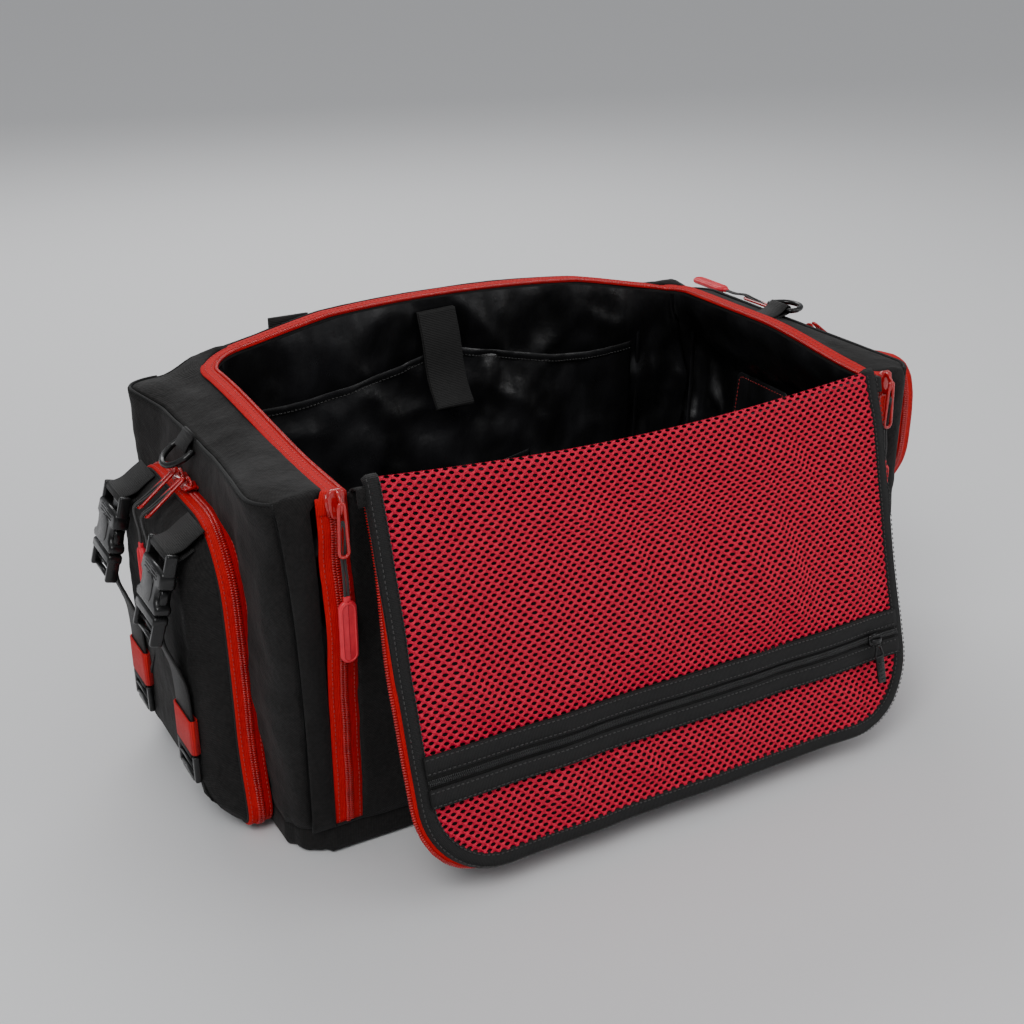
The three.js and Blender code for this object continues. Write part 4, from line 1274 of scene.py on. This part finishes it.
def lid_fold():
    """The strip of cloth that joins the front panel's top edge to the lid."""
    half = FRONT_ZIP_X - FRONT_ZIP_HALF
    x = np.linspace(-half, half, 100)
    shape = offsets((-HALF_DEPTH, HEIGHT), [(1, -10), (0.5, -3), (-1.5, 1.5), (-7, 5)])
    lid_side = [LID_PIVOT + v * LID_DOWN * MM + w * LID_OUT * MM
                for v, w in ((1, 2.0), (6, 1.2), (14, 0.8))]
    shape += [(p[1], p[2]) for p in lid_side]
    curve = resample(shape, 2.5 * MM)
    rows = np.array([[(a, y, z) for a in x] for y, z in curve])
    rows[..., 2] += ripple(rows, 40 * MM, 4.0) * 0.8 * MM
    points = settle(rows)
    uvs = np.stack(np.broadcast_arrays(x[None, :], np.arange(len(curve))[:, None] * 2.5 * MM), -1)
    obj = join("lid_fold", [sheet_parts(points, uvs, 1.4 * MM)], "cordura")
    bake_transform(obj)


# --- Sliders and pulls ---------------------------------------------------------------------------


def slider_parts(origin, across, travel, width, length, height):
    """A zip slider: a waisted plate over the teeth, side flanges and a bridge for the pull."""
    half, long = width / 2, length / 2
    outline = [(half * x, long * y) for x, y in mirrored(
        [(0.4, -1), (0.66, -0.86), (0.86, -0.3), (1, 0.45), (0.92, 0.8), (0.5, 1)])]
    up = np.cross(unit(across), unit(travel))
    origin = np.asarray(origin, float)

    def at(x, y, z):
        return origin + unit(across) * x + unit(travel) * y + up * z

    thick = height * 0.30
    parts = [plate_parts(outline, thick, thick * 0.38, at(0, 0, height * 0.34), across, travel)]
    for side in (-1, 1):
        rail = [at(side * half * 0.90, long * 0.62, height * 0.20),
                at(side * half * 0.88, 0, height * 0.17),
                at(side * half * 0.70, -long * 0.82, height * 0.20)]
        parts.append(sweep_parts(rail, circle(height * 0.16, 8), up))
    bow = []
    for t in np.linspace(0, 1, 17):
        rise = math.sin(math.pi * t) ** 0.55
        bow.append(at(0, long * (0.78 - 1.5 * t), height * (0.42 + 0.56 * rise)))
    bridge = np.array([(-1.0, -0.3), (-0.7, -0.55), (0.7, -0.55), (1.0, -0.3), (1.0, 0.3),
                       (0.7, 0.55), (-0.7, 0.55), (-1.0, 0.3)]) * [width * 0.15, height * 0.17]
    parts.append(sweep_parts(bow, bridge))
    return parts


def oval_loop(half_width, low, high):
    """A closed long loop in X and Y, narrower at its top than at its foot."""
    top, foot = half_width * 0.62, half_width
    points = arc_points((0, high - top), top, 0, 180)
    points += arc_points((0, low + foot), foot, 180, 360)
    return np.array(points)


def wire_loop(points, origin, x_axis, y_axis, radius, sides=10):
    x_axis, y_axis = unit(x_axis), unit(y_axis)
    path = np.asarray(origin) + points[:, :1] * x_axis + points[:, 1:] * y_axis
    path = resample(np.concatenate([path, path[:1]]), 1.2 * MM)[:-1]
    normal = np.cross(x_axis, y_axis)
    return sweep_parts(path, circle(radius, sides), normal, closed=True)


def tab_parts(origin, across, down):
    """A rubber tab: a stadium with soft edges, a raised rim on both faces and a collar."""
    across, up = unit(across), -unit(down)
    middle = np.asarray(origin, float)
    outline = stadium(TAB_WIDTH / 2, -TAB_LENGTH, 0.0, count=11)
    parts = [plate_parts(outline, TAB_THICKNESS * 0.80, 1.7 * MM, middle, across, up, 5)]
    rim = np.array(stadium(TAB_WIDTH / 2 - 2.0 * MM, -TAB_LENGTH + 2.0 * MM, -2.0 * MM, count=11))
    for face in (-1, 1):
        base = middle + np.cross(across, up) * face * TAB_THICKNESS * 0.385
        parts.append(wire_loop(rim, base, across, up, 0.75 * MM, 8))
    collar = stadium(2.6 * MM, -1.0 * MM, 3.4 * MM, 1.2 * MM, 5)
    return parts + [plate_parts(collar, 3.4 * MM, 0.9 * MM, middle, across, up)]


def pull(name, body, pivot, across, hook_down, hang_down, hook_nodes, tab_nodes):
    """A wire hook on its slider, a doubled cord and a rubber tab."""
    across, hook_down, hang_down = unit(across), unit(hook_down), unit(hang_down)
    pivot = np.asarray(pivot, float)
    loop = oval_loop(HOOK_WIDTH / 2 - WIRE, -HOOK_LENGTH + 2 * WIRE, 1.2 * MM)
    collect(f"{name}_wire_hook", [wire_loop(loop, pivot, across, -hook_down, WIRE * 0.95)],
            "metal", body, *hook_nodes)
    normal = np.cross(across, -hook_down)
    foot = pivot + hook_down * (HOOK_LENGTH - WIRE)
    tab_top = foot + hang_down * CORD_LENGTH
    strands = []
    hang_normal = np.cross(across, -hang_down)
    for side in (-1, 1):
        route = [start + (down * a + across * side * b - back * c) * MM
                 for start, down, back, a, b, c in (
                     (pivot, hook_down, normal, 14, 0.7, 0.2),
                     (pivot, hook_down, normal, 20, 2.1, 0.6),
                     (pivot, hook_down, normal, 31, 1.8, 1.6),
                     (foot, hook_down, normal, 0, 1.2, 2.6),
                     (foot, hang_down, hang_normal, 7, 1.1, 1.6),
                     (foot, hang_down, hang_normal, 18, 1.25, 0),
                     (tab_top, hang_down, hang_normal, 1.5, 1.1, 0))]
        strands.append(sweep_parts(bent(route, 26), circle(1.05 * MM, 8)))
    knot = pivot + hook_down * 13.5 * MM - normal * 0.2 * MM
    arch = [knot + across * a * 1.6 * MM + hook_down * b * MM for a, b in
            ((-1, 2.2), (-0.8, 0.2), (0, -0.9), (0.8, 0.2), (1, 2.2))]
    strands.append(sweep_parts(bent(arch, 14), circle(1.1 * MM, 8)))
    collect(f"{name}_cord", strands, "cord", body)
    collect(f"{name}_rubber_tab", tab_parts(tab_top, across, hang_down), "rubber", body,
            *tab_nodes)


def bent(points, count):
    """A smooth curve through a few chosen points."""
    points = np.asarray(points, float)
    padded = np.concatenate([[2 * points[0] - points[1]], points, [2 * points[-1] - points[-2]]])
    spans = len(points) - 1
    curve = []
    for t in np.linspace(0, spans, count):
        k = min(int(t), spans - 1)
        f = t - k
        a, b, c, d = padded[k:k + 4]
        curve.append(0.5 * (2 * b + (c - a) * f + (2 * a - 5 * b + 4 * c - d) * f**2
                            + (3 * b - a - 3 * c + d) * f**3))
    return np.array(curve)


def pivot_of(joint):
    return np.array(JOINTS[joint]["pos_m"])


def middle_of(node):
    return np.mean(np.array(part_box(node), float), axis=0)


def main_pulls():
    """The two sliders at the top of the front zips, with hook, cord and tab."""
    for side in ("left", "right"):
        slider, name = f"{side}_main_slider", f"{side}_main"
        origin = (middle_of(slider)[0], -HALF_DEPTH - 1.8 * MM, HEIGHT - 5 * MM)
        parts = slider_parts(origin, (1, 0, 0), (0, 0, 1), 14 * MM, 22 * MM, 12.5 * MM)
        collect(f"{name}_zip_slider", parts, "metal", slider, slider)
        pull(name, f"{name}_pull", pivot_of(f"{name}_pull_swing"), (1, 0, 0), (0, -0.02, -1),
             (0, 0, -1), [f"{name}_hook"], [f"{name}_tab"])


def lid_pocket_slider():
    """The net pocket's slider and its short moulded pull."""
    base = middle_of("lid_pocket_slider") - LID_OUT * 3.2 * MM
    parts = slider_parts(base, LID_DOWN, (1, 0, 0), 9 * MM, 14 * MM, 7 * MM)
    collect("lid_pocket_zip_slider", parts, "plastic", "lid_pocket_slider", "lid_pocket_slider")
    pivot = pivot_of("lid_pocket_pull_swing")
    wire = oval_loop(4 * MM, -10 * MM, 1.5 * MM)
    parts = [wire_loop(wire, pivot, (1, 0, 0), -LID_DOWN, 0.9 * MM)]
    collect("lid_pocket_pull_wire", parts, "plastic", "lid_pocket_pull")
    outline = stadium(4.2 * MM, -31 * MM, -7.5 * MM, 2 * MM)
    parts = [plate_parts(outline, 2.4 * MM, 0.8 * MM, pivot, (1, 0, 0), -LID_DOWN)]
    for k in range(5):
        place = pivot + LID_DOWN * (13.5 + 3.6 * k) * MM + LID_OUT * 1.2 * MM
        line = [place + np.array([x, 0, 0]) for x in (-3 * MM, 3 * MM)]
        parts.append(sweep_parts(line, circle(0.6 * MM, 6)))
    collect("lid_pocket_pull_strip", parts, "plastic", "lid_pocket_pull", "lid_pocket_pull")


# --- End pockets ---------------------------------------------------------------------------------


class PocketEnd:
    """One end of the bag: its pocket's outline, and how its own X, y and z lie in the frame."""

    def __init__(self, side):
        self.side = side
        self.sign = -1 if side == "left" else 1
        self.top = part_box(f"{side}_pocket_zip")[1].z
        loop = rounded_loop(POCKET_HALF_WIDTH, POCKET_FOOT, self.top, 24 * MM, POCKET_CORNER,
                            3.2 * MM)[:-1]
        self.loop = loop
        tangent = loop_tangents(loop)
        self.outward = np.stack([tangent[:, 1], -tangent[:, 0]], axis=1)
        self.centre = np.array([0.0, (POCKET_FOOT + self.top) / 2])

    def place(self, x, y, z):
        """x out of the bag's end, y from the pocket's middle and z up."""
        x, y, z = np.broadcast_arrays(*(np.asarray(q, float) for q in (x, y, z)))
        return np.stack([self.sign * (HALF_LENGTH + x), POCKET_CENTRE_Y + y, z], axis=-1)

    def direction(self, x, y, z):
        return np.array([self.sign * x, y, z], float)


def from_foot(kept):
    """The kept places of a closed loop, in order from the first one of their run."""
    order = np.roll(np.arange(len(kept)), -int(np.argmax(kept)))
    return order[kept[order]]


def pocket_cloth(end):
    """The pocket's body: gusset, rolled shoulder and a softly domed face."""
    levels = [(3.4, -1.0), (3.4, 3.0), (3.4, 8.0), (3.4, 14.0), (3.2, 19.5)]
    for a in np.radians(np.linspace(12, 90, 9)):
        ellipse = np.array([26 * (1 - math.cos(a)), 24 * math.sin(a)])
        chamfer = np.array([26, 24]) * (a / (math.pi / 2))
        mixed = 0.55 * ellipse + 0.45 * chamfer
        levels.append((3.2 + mixed[0], 19.5 + mixed[1]))
    rings = []
    for inset, x in levels:
        flat = end.loop - end.outward * inset * MM
        rings.append(end.place(x * MM, flat[:, 0], flat[:, 1]))
    edge = end.loop - end.outward * 29.2 * MM
    for share in (0.93, 0.84, 0.73, 0.6, 0.46, 0.32, 0.19, 0.08):
        flat = end.centre + (edge - end.centre) * share
        dome = POCKET_DEPTH + 2.4 * MM * math.sin(math.pi / 2 * (1 - share)) - 0.8 * MM
        rings.append(end.place(dome, flat[:, 0], flat[:, 1]))
    points = np.array(rings)
    normals = grid_normals(points)
    normals *= np.sign(np.sum(normals[8] * end.direction(1, 0, 0)))
    broad = ripple(points, 48 * MM, 40.0 + end.sign) * 1.9 * MM
    broad += ripple(points, 17 * MM, 13.0) * 0.7 * MM
    between = 1 - ramp(np.abs(points[..., 1] - POCKET_CENTRE_Y), 40 * MM, 15 * MM)
    broad -= between * np.maximum(broad - 0.3 * MM, 0)
    free = np.clip((np.arange(len(points)) - 4) / 4, 0, 1)[:, None]
    flat = settle(points + normals * (broad * free)[..., None]).reshape(-1, 3)
    faces = tube_faces(*points.shape[:2])
    if end.sign < 0:
        faces = [face[::-1] for face in faces]
    uvs = np.stack([flat[:, 1] + flat[:, 0] * 0.7, flat[:, 2] + flat[:, 0] * 0.7], axis=1)
    obj = collect(f"{end.side}_pocket_cloth", [(flat, faces, uvs)], "cordura", "bag",
                  f"{end.side}_pocket")
    seam = end.loop - end.outward * 3.1 * MM
    seam = seam[from_foot(seam[:, 1] > 9.5 * MM)]
    path = settle(end.place(20.3 * MM, seam[:, 0], seam[:, 1]))
    cord_along(f"{end.side}_pocket_piping", path, 1.2 * MM)


def pocket_arch(end):
    """The pocket's arched zip: tape, two rows of teeth and two stitch lines."""
    name = f"{end.side}_pocket_zip"
    order = from_foot(end.loop[:, 1] > 8 * MM)
    flat, out = end.loop[order], end.outward[order]
    base = flat - out * 1.7 * MM
    path = settle(end.place(10.4 * MM, base[:, 0], base[:, 1]))
    normals = np.column_stack([np.zeros(len(out)), out])
    tape = sweep_parts(path, band(20 * MM, 2.6 * MM, 0.4 * MM), normals)
    collect(f"{name}_tape", [tape], "red_tape", "bag", name)
    closed_chain(name, path, end.direction(1, 0, 0), normals, 2.0 * MM, 7.6 * MM, 1.3 * MM)


def pocket_pulls(end):
    """The arch's two sliders; a pull lies along the arch or hangs down the face, as designed."""
    for letter in ("a", "b"):
        slider = f"{end.side}_pocket_slider_{letter}"
        name = f"{end.side}_pocket_pull_{letter}"
        centre = middle_of(slider)
        base = (centre[0], centre[1], end.top + 0.6 * MM)
        parts = slider_parts(base, (1, 0, 0), (0, 1, 0), 12 * MM, 14 * MM, 8.4 * MM)
        collect(f"{slider}_body", parts, "metal", slider, slider)
        low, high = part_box(name)
        if high.y - low.y > 60 * MM:
            across, hook_down, hang_down = (1, 0, 0), (0, 1, 0), (0, 1, 0)
        else:
            tilt = math.radians(52)
            hook_down = end.direction(math.sin(tilt), 0, -math.cos(tilt))
            across, hang_down = (0, 1, 0), (0, 0, -1)
        pull(name, name, pivot_of(f"{name}_swing"), across, hook_down, hang_down, [], [name])


# --- Compression straps --------------------------------------------------------------------------


def buckle_frame(end, y):
    """Origin at the socket's bar, with the way across the buckle and the way up it."""
    origin = np.array([end.sign * (HALF_LENGTH + BAR_OUT), y, end.top - BAR_DROP])
    up = end.direction(-math.sin(BUCKLE_TILT), 0, math.cos(BUCKLE_TILT))
    return origin, np.array([0.0, 1.0, 0.0]), up


def bar_parts(place, across, half, radius, sides=12):
    """A round bar across a buckle."""
    return cylinder_parts(place - across * half, place + across * half, radius, sides)


def socket(end, name, y):
    """The buckle's socket: waisted shell, cheeks beside its bar, and a ribbed boss on each face."""
    origin, across, up = buckle_frame(end, y)
    half = BUCKLE_WIDTH / 2
    deep = BUCKLE_THICKNESS
    body = offsets((half, -SOCKET_LENGTH), [(-3, 0), (0, 3)])
    body += offsets((half, 0), [(0, -38), (-2, -36.5), (-5, -35), (-6, -30), (-5, -25),
                                (-2, -23.5), (0, -22), (-1, -13), (-3, -10)])
    parts = [plate_parts(mirrored(body), deep, 3.2 * MM, origin, across, up, 4)]
    cheek = stadium(2.6 * MM, -14 * MM, 4 * MM, 2.2 * MM)
    for side in (-1, 1):
        place = origin + across * side * (half - 3.2 * MM)
        parts.append(plate_parts(cheek, deep * 0.72, 1.6 * MM, place, across, up))
    parts.append(bar_parts(origin, across, half - 3 * MM, 2.0 * MM))
    boss = stadium(10 * MM, -40 * MM, -19 * MM, 7 * MM)
    for face in (-1, 1):
        out = np.cross(across, up) * face
        place = origin + out * (deep / 2 - 0.1 * MM)
        parts.append(plate_parts(boss, 1.4 * MM, 0.6 * MM, place, across, up))
        for k in range(3):
            rib = origin - up * (13.5 + 2.4 * k) * MM + out * (deep / 2 - 0.2 * MM)
            parts.append(bar_parts(rib, across, 14 * MM, 0.7 * MM, 8))
    collect(f"{name}_socket_shell", parts, "plastic", "bag", f"{name}_buckle_socket")


def plug(end, name, y):
    """The buckle's plug: head, two prongs that reach into the socket, cheeks and two bars."""
    origin, across, up = buckle_frame(end, y)
    half = BUCKLE_WIDTH / 2 - 1 * MM
    top = -SOCKET_LENGTH - 0.3 * MM
    deep = BUCKLE_THICKNESS - 1 * MM
    head = mirrored(offsets((half, top), [(-2, -8.5), (0, -6), (0, -2), (-2, 0)]))
    parts = [plate_parts(head, deep, 2.4 * MM, origin, across, up)]
    cheek = stadium(2.6 * MM, top - PLUG_LENGTH, top - 4 * MM, 2.2 * MM)
    prong = np.array([(13.5, -1), (17.5, -1), (19.5, 5), (21.6, 10), (21.8, 16), (20, 20.5),
                      (17.4, 21.5), (17.0, 16), (16.4, 9), (14.6, 3)]) * MM + [0, top]
    for side in (-1, 1):
        place = origin + across * side * (half - 2.6 * MM)
        parts.append(plate_parts(cheek, deep * 0.8, 1.6 * MM, place, across, up))
        outline = (prong * [side, 1])[::side]
        parts.append(plate_parts(outline, 6 * MM, 1.4 * MM, origin, across, up))
    for drop, radius in ((14.2 * MM, 1.9 * MM), (PLUG_LENGTH - 2.4 * MM, 2.3 * MM)):
        parts.append(bar_parts(origin + up * (top - drop), across, half - 2 * MM, radius))
    collect(f"{name}_plug_body", parts, "plastic", f"{name}_buckle_plug", f"{name}_buckle_plug")


def webbing_parts(end, shape, count, y, width, thickness):
    """Webbing laid flat through a few (out, up) places of an end, and the path it takes."""
    curve = bent(shape, count)
    path = end.place(curve[:, 0], y, curve[:, 1])
    normals = np.cross(unit(np.gradient(path, axis=0)), (0, 1, 0))
    return sweep_parts(path, band(width, thickness), normals), path


def socket_loop(end, name, y):
    """Webbing sewn into the pocket's top edge, folded round the socket's bar."""
    z0 = end.top - BAR_DROP
    shape = offsets((0, end.top), [(23, -4.5), (31, -9.5), (39, -15)])
    shape += offsets((0, z0), [(45, 3.9)])
    shape += arc_points((BAR_OUT, z0), 3.3 * MM, 80, -100, 10)
    shape += offsets((0, z0), [(45, -3.0), (38, -0.6), (32, 3.0)])
    part, _ = webbing_parts(end, shape, 60, y - POCKET_CENTRE_Y, WEBBING, 1.7 * MM)
    collect(f"{name}_socket_webbing", [part], "webbing", "bag")


def strap(end, name, y):
    """Webbing from the plug's bar down the pocket's face, under its red keeper."""
    local = y - POCKET_CENTRE_Y
    lower = end.top - 257 * MM
    face = POCKET_DEPTH + 3.0 * MM
    bar = SOCKET_LENGTH + 14 * MM
    x1 = BAR_OUT + math.sin(BUCKLE_TILT) * bar
    z1 = end.top - BAR_DROP - math.cos(BUCKLE_TILT) * bar
    shape = offsets((x1, z1), [(-2.5, 5.5), (-3.6, -1), (-5, -13), (-9.5, -26)])
    shape += offsets((face, z1), [(5, -40), (1.6, -54)])
    shape += offsets((face, lower), [(0.4, 104), (0, 82), (0, 66)])
    part, path = webbing_parts(end, shape, 90, local, WEBBING, 2.0 * MM)
    obj = join(f"{name}_strap_webbing", [part], "webbing")
    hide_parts(f"{name}_strap")
    tuple(end.place(face, local, z1 - 56 * MM))
    tuple(end.place(x1 - 4 * MM, local, z1 - 6 * MM))
    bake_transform(obj)
    middle = end.place(POCKET_DEPTH + 2.7 * MM, local, 81.5 * MM + lower)
    ring = stadium(3.0 * MM, -20.2 * MM, 20.2 * MM, 2.9 * MM)
    path = resample(ring + ring[:1], 1.6 * MM)[:-1]
    loop = middle + path[:, :1] * end.direction(1, 0, 0) + path[:, 1:] * np.array([0, 1.0, 0])
    out = np.cross(loop_tangents(loop), (0, 0, 1.0))
    out *= np.sign(np.sum(out * (loop - middle), axis=1, keepdims=True))
    keeper = sweep_parts(loop, band(31 * MM, 1.5 * MM), out, closed=True)
    collect(f"{name}_red_keeper", [keeper], "keeper", "bag")


def ladder_lock(end, name, y):
    """A flat adjuster: two rails, three cross bars, and the short webbing that holds it."""
    local = y - POCKET_CENTRE_Y
    low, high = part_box(f"{name}_ladder_lock")
    x = POCKET_DEPTH + 3.4 * MM
    top, foot = high.z, low.z
    along, up = np.array([0.0, 1.0, 0.0]), (0, 0, 1)
    rail = stadium(2.6 * MM, foot, top, 2.0 * MM)
    parts = [plate_parts(rail, 5.2 * MM, 1.5 * MM, end.place(x, local + side * 18.3 * MM, 0.0),
                         along, up) for side in (-1, 1)]
    for z, radius, shift in ((top - 2.0 * MM, 1.9 * MM, 0), (foot + 12 * MM, 1.7 * MM, 0.8 * MM),
                             (foot + 2.6 * MM, 2.5 * MM, 0)):
        parts.append(bar_parts(end.place(x + shift, local, z), along, 18 * MM, radius))
    lip = stadium(14 * MM, foot - 1.5 * MM, foot + 3 * MM, 2 * MM)
    parts.append(plate_parts(lip, 2.4 * MM, 0.9 * MM, end.place(x + 1.2 * MM, local, 0.0),
                             along, up))
    collect(f"{name}_ladder_lock_body", parts, "plastic", f"{name}_ladder_lock",
            f"{name}_ladder_lock")
    shape = offsets((x, top), [(-1.8, 12), (-2.2, 3), (-2.9, -2), (-0.4, -4.9), (2.7, -2),
                               (1.0, 3), (-0.2, 12)])
    part, _ = webbing_parts(end, shape, 30, local, 31 * MM, 1.3 * MM)
    collect(f"{name}_ladder_webbing", [part], "webbing", "bag")


# --- Rings and back handle -----------------------------------------------------------------------


def d_ring(end):
    """A moulded D-ring and the webbing folded round its bar."""
    side = end.side
    pivot = pivot_of(f"{side}_ring_swing")
    flat = end.sign > 0
    lift = math.radians(90 if flat else 60)
    away = end.direction(math.sin(lift), 0, -math.cos(lift))
    radius = 2.5 * MM
    half = 18 * MM - radius
    drop = 24 * MM - radius
    shape = [(-half, 0), (0, 0), (half, 0), (half + 0.8 * MM, drop * 0.35)]
    bow = [(half * math.cos(a), drop * 0.28 + (drop * 0.72) * math.sin(a))
           for a in np.radians(np.linspace(12, 168, 13))]
    shape += bow + [(-half - 0.8 * MM, drop * 0.35)]
    flat_path = np.array(shape + [shape[0]])
    path = pivot + flat_path[:, :1] * np.array([0, 1.0, 0]) + flat_path[:, 1:] * away
    path = resample(path, 1.4 * MM)[:-1]
    normal = np.cross((0, 1, 0), away)
    collect(f"{side}_d_ring", [sweep_parts(path, circle(radius, 12), normal, closed=True)],
            "plastic", f"{side}_ring", f"{side}_ring")
    x0, z0 = abs(pivot[0]) - HALF_LENGTH, pivot[2]
    if flat:
        shape = offsets((0, HEIGHT), [(-24, 1.4), (-14, 1.6)])
        shape += offsets((x0, HEIGHT), [(-6, 2.6)])
        shape += arc_points((x0, z0), 3.9 * MM, -80, 100, 10)
        shape += offsets((x0, HEIGHT), [(-6, 7.4)])
        shape += offsets((0, HEIGHT), [(-15, 3.6), (-23, 3.2)])
    else:
        shape = offsets((0, HEIGHT), [(1.2, -2.5)]) + offsets((0, z0), [(1.4, 6)])
        shape += arc_points((x0, z0), 3.9 * MM, 170, 360, 10)
        shape += offsets((x0, z0), [(1.2, 5)]) + offsets((0, z0), [(3.6, 9)])
        shape += offsets((0, HEIGHT), [(3.0, -3)])
    part, _ = webbing_parts(end, shape, 50, pivot[1] - POCKET_CENTRE_Y, 24 * MM, 1.6 * MM)
    collect(f"{side}_ring_webbing", [part], "webbing", "bag", f"{side}_ring_tab")


def back_handle():
    """Two webbing runs up the back, the hanging loop and its padded grip."""
    pivot = pivot_of("back_handle_swing")
    run = 157 * MM
    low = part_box("back_handle")[0].z + WEBBING / 2 + 1 * MM
    corner = 34 * MM
    left = [(-run, low + corner)]
    left += arc_points((-run + corner, low + corner), corner, 180, 270, 9)
    right = [(-x, z) for x, z in reversed(left)]
    left_root, right_root = pivot[2] + 20 * MM, pivot[2] + 4 * MM
    flat = resample([(-run, left_root)] + left + right + [(run, right_root)], 4 * MM)
    sway = 1.2 * MM * np.sin(flat[:, 0] / (30 * MM))
    path = np.column_stack([flat[:, 0], pivot[1] + sway, flat[:, 1]])
    loop = sweep_parts(path, band(WEBBING, 3.0 * MM), (0, 1, 0))
    obj = collect("back_handle_webbing", [loop], "webbing", "back_handle", "back_handle")
    x = np.linspace(-62 * MM, 62 * MM, 60)
    puff = 1 - 0.16 * np.abs(x / (62 * MM)) ** 6 - 0.03 * np.cos(x / (6 * MM)) ** 2
    section = np.array(stadium(16.5 * MM, -5 * MM, 5 * MM, 4.9 * MM, 8))
    grip_path = np.column_stack([x, np.full_like(x, pivot[1] + 2.6 * MM), np.full_like(x, low)])
    grip = collect("back_handle_grip", [sweep_parts(grip_path, section, (0, 1, 0), scale=puff)],
                   "cordura", "back_handle")
    lines = []
    for z in (-11 * MM, 11 * MM):
        lines += stitch_parts(grip_path[4:-4] + [0, 5.2 * MM, z], (0, 1, 0))
    collect("back_handle_grip_stitching", lines, "stitch_black", "back_handle")
    runs, boxes = [], []
    top = pivot[2] - 2 * MM
    for side in (-1, 1):
        z = np.linspace(24 * MM, top, 90)
        place = BODY.find(side * run, False)
        wide = place + np.linspace(-WEBBING / 2, WEBBING / 2, 9)
        cloth = on_wall(wide[None, :], np.minimum(z, HEIGHT + 14 * MM)[:, None], 1.7 * MM)
        outermost = np.max(cloth[..., 1], axis=1)
        outermost = np.convolve(np.pad(outermost, 3, mode="edge"), np.ones(7) / 7, "valid")
        path = np.column_stack([cloth[:, 4, 0], outermost + 0.5 * MM, z])
        path[:, 1] = np.maximum(path[:, 1], HALF_DEPTH + 1.0 * MM)
        runs.append(sweep_parts(path, band(WEBBING, 2.4 * MM), (0, 1, 0)))
        for foot in (40 * MM, 262 * MM):
            for shape in ([(-15, 0), (15, 0), (15, 26), (-15, 26), (-15, 0), (15, 26)],
                          [(-15, 26), (15, 0)]):
                flat = resample(np.array(shape) * MM, 1.5 * MM)
                y = np.interp(flat[:, 1] + foot, z, path[:, 1]) + 1.3 * MM
                line = np.column_stack([flat[:, 0] + side * run, y, flat[:, 1] + foot])
                boxes += stitch_parts(line, (0, 1, 0))
    obj = collect("back_riser_webbing", runs, "webbing", "bag")
    collect("back_riser_stitching", boxes, "stitch_black", "bag")


add_camera()
add_studio()
base_cloth()
body_panels()
for each in ("left", "right"):
    shoulder(each)
    front_zip(each)
piping()
seam_stitches()
mouth_zip()
lining_cloth()
inner_pockets()
inner_strap()
lining_seams()
base_board()
lid_panel()
lid_net()
lid_edge()
lid_pocket_zip()
lid_fold()
main_pulls()
lid_pocket_slider()
for each in ("left", "right"):
    end = PocketEnd(each)
    pocket_cloth(end)
    pocket_arch(end)
    pocket_pulls(end)
    for row, spacing in (("front", -STRAP_SPACING), ("back", STRAP_SPACING)):
        for make in (socket, plug, socket_loop, strap, ladder_lock):
            make(end, f"{each}_{row}", POCKET_CENTRE_Y + spacing)
    d_ring(end)
back_handle()
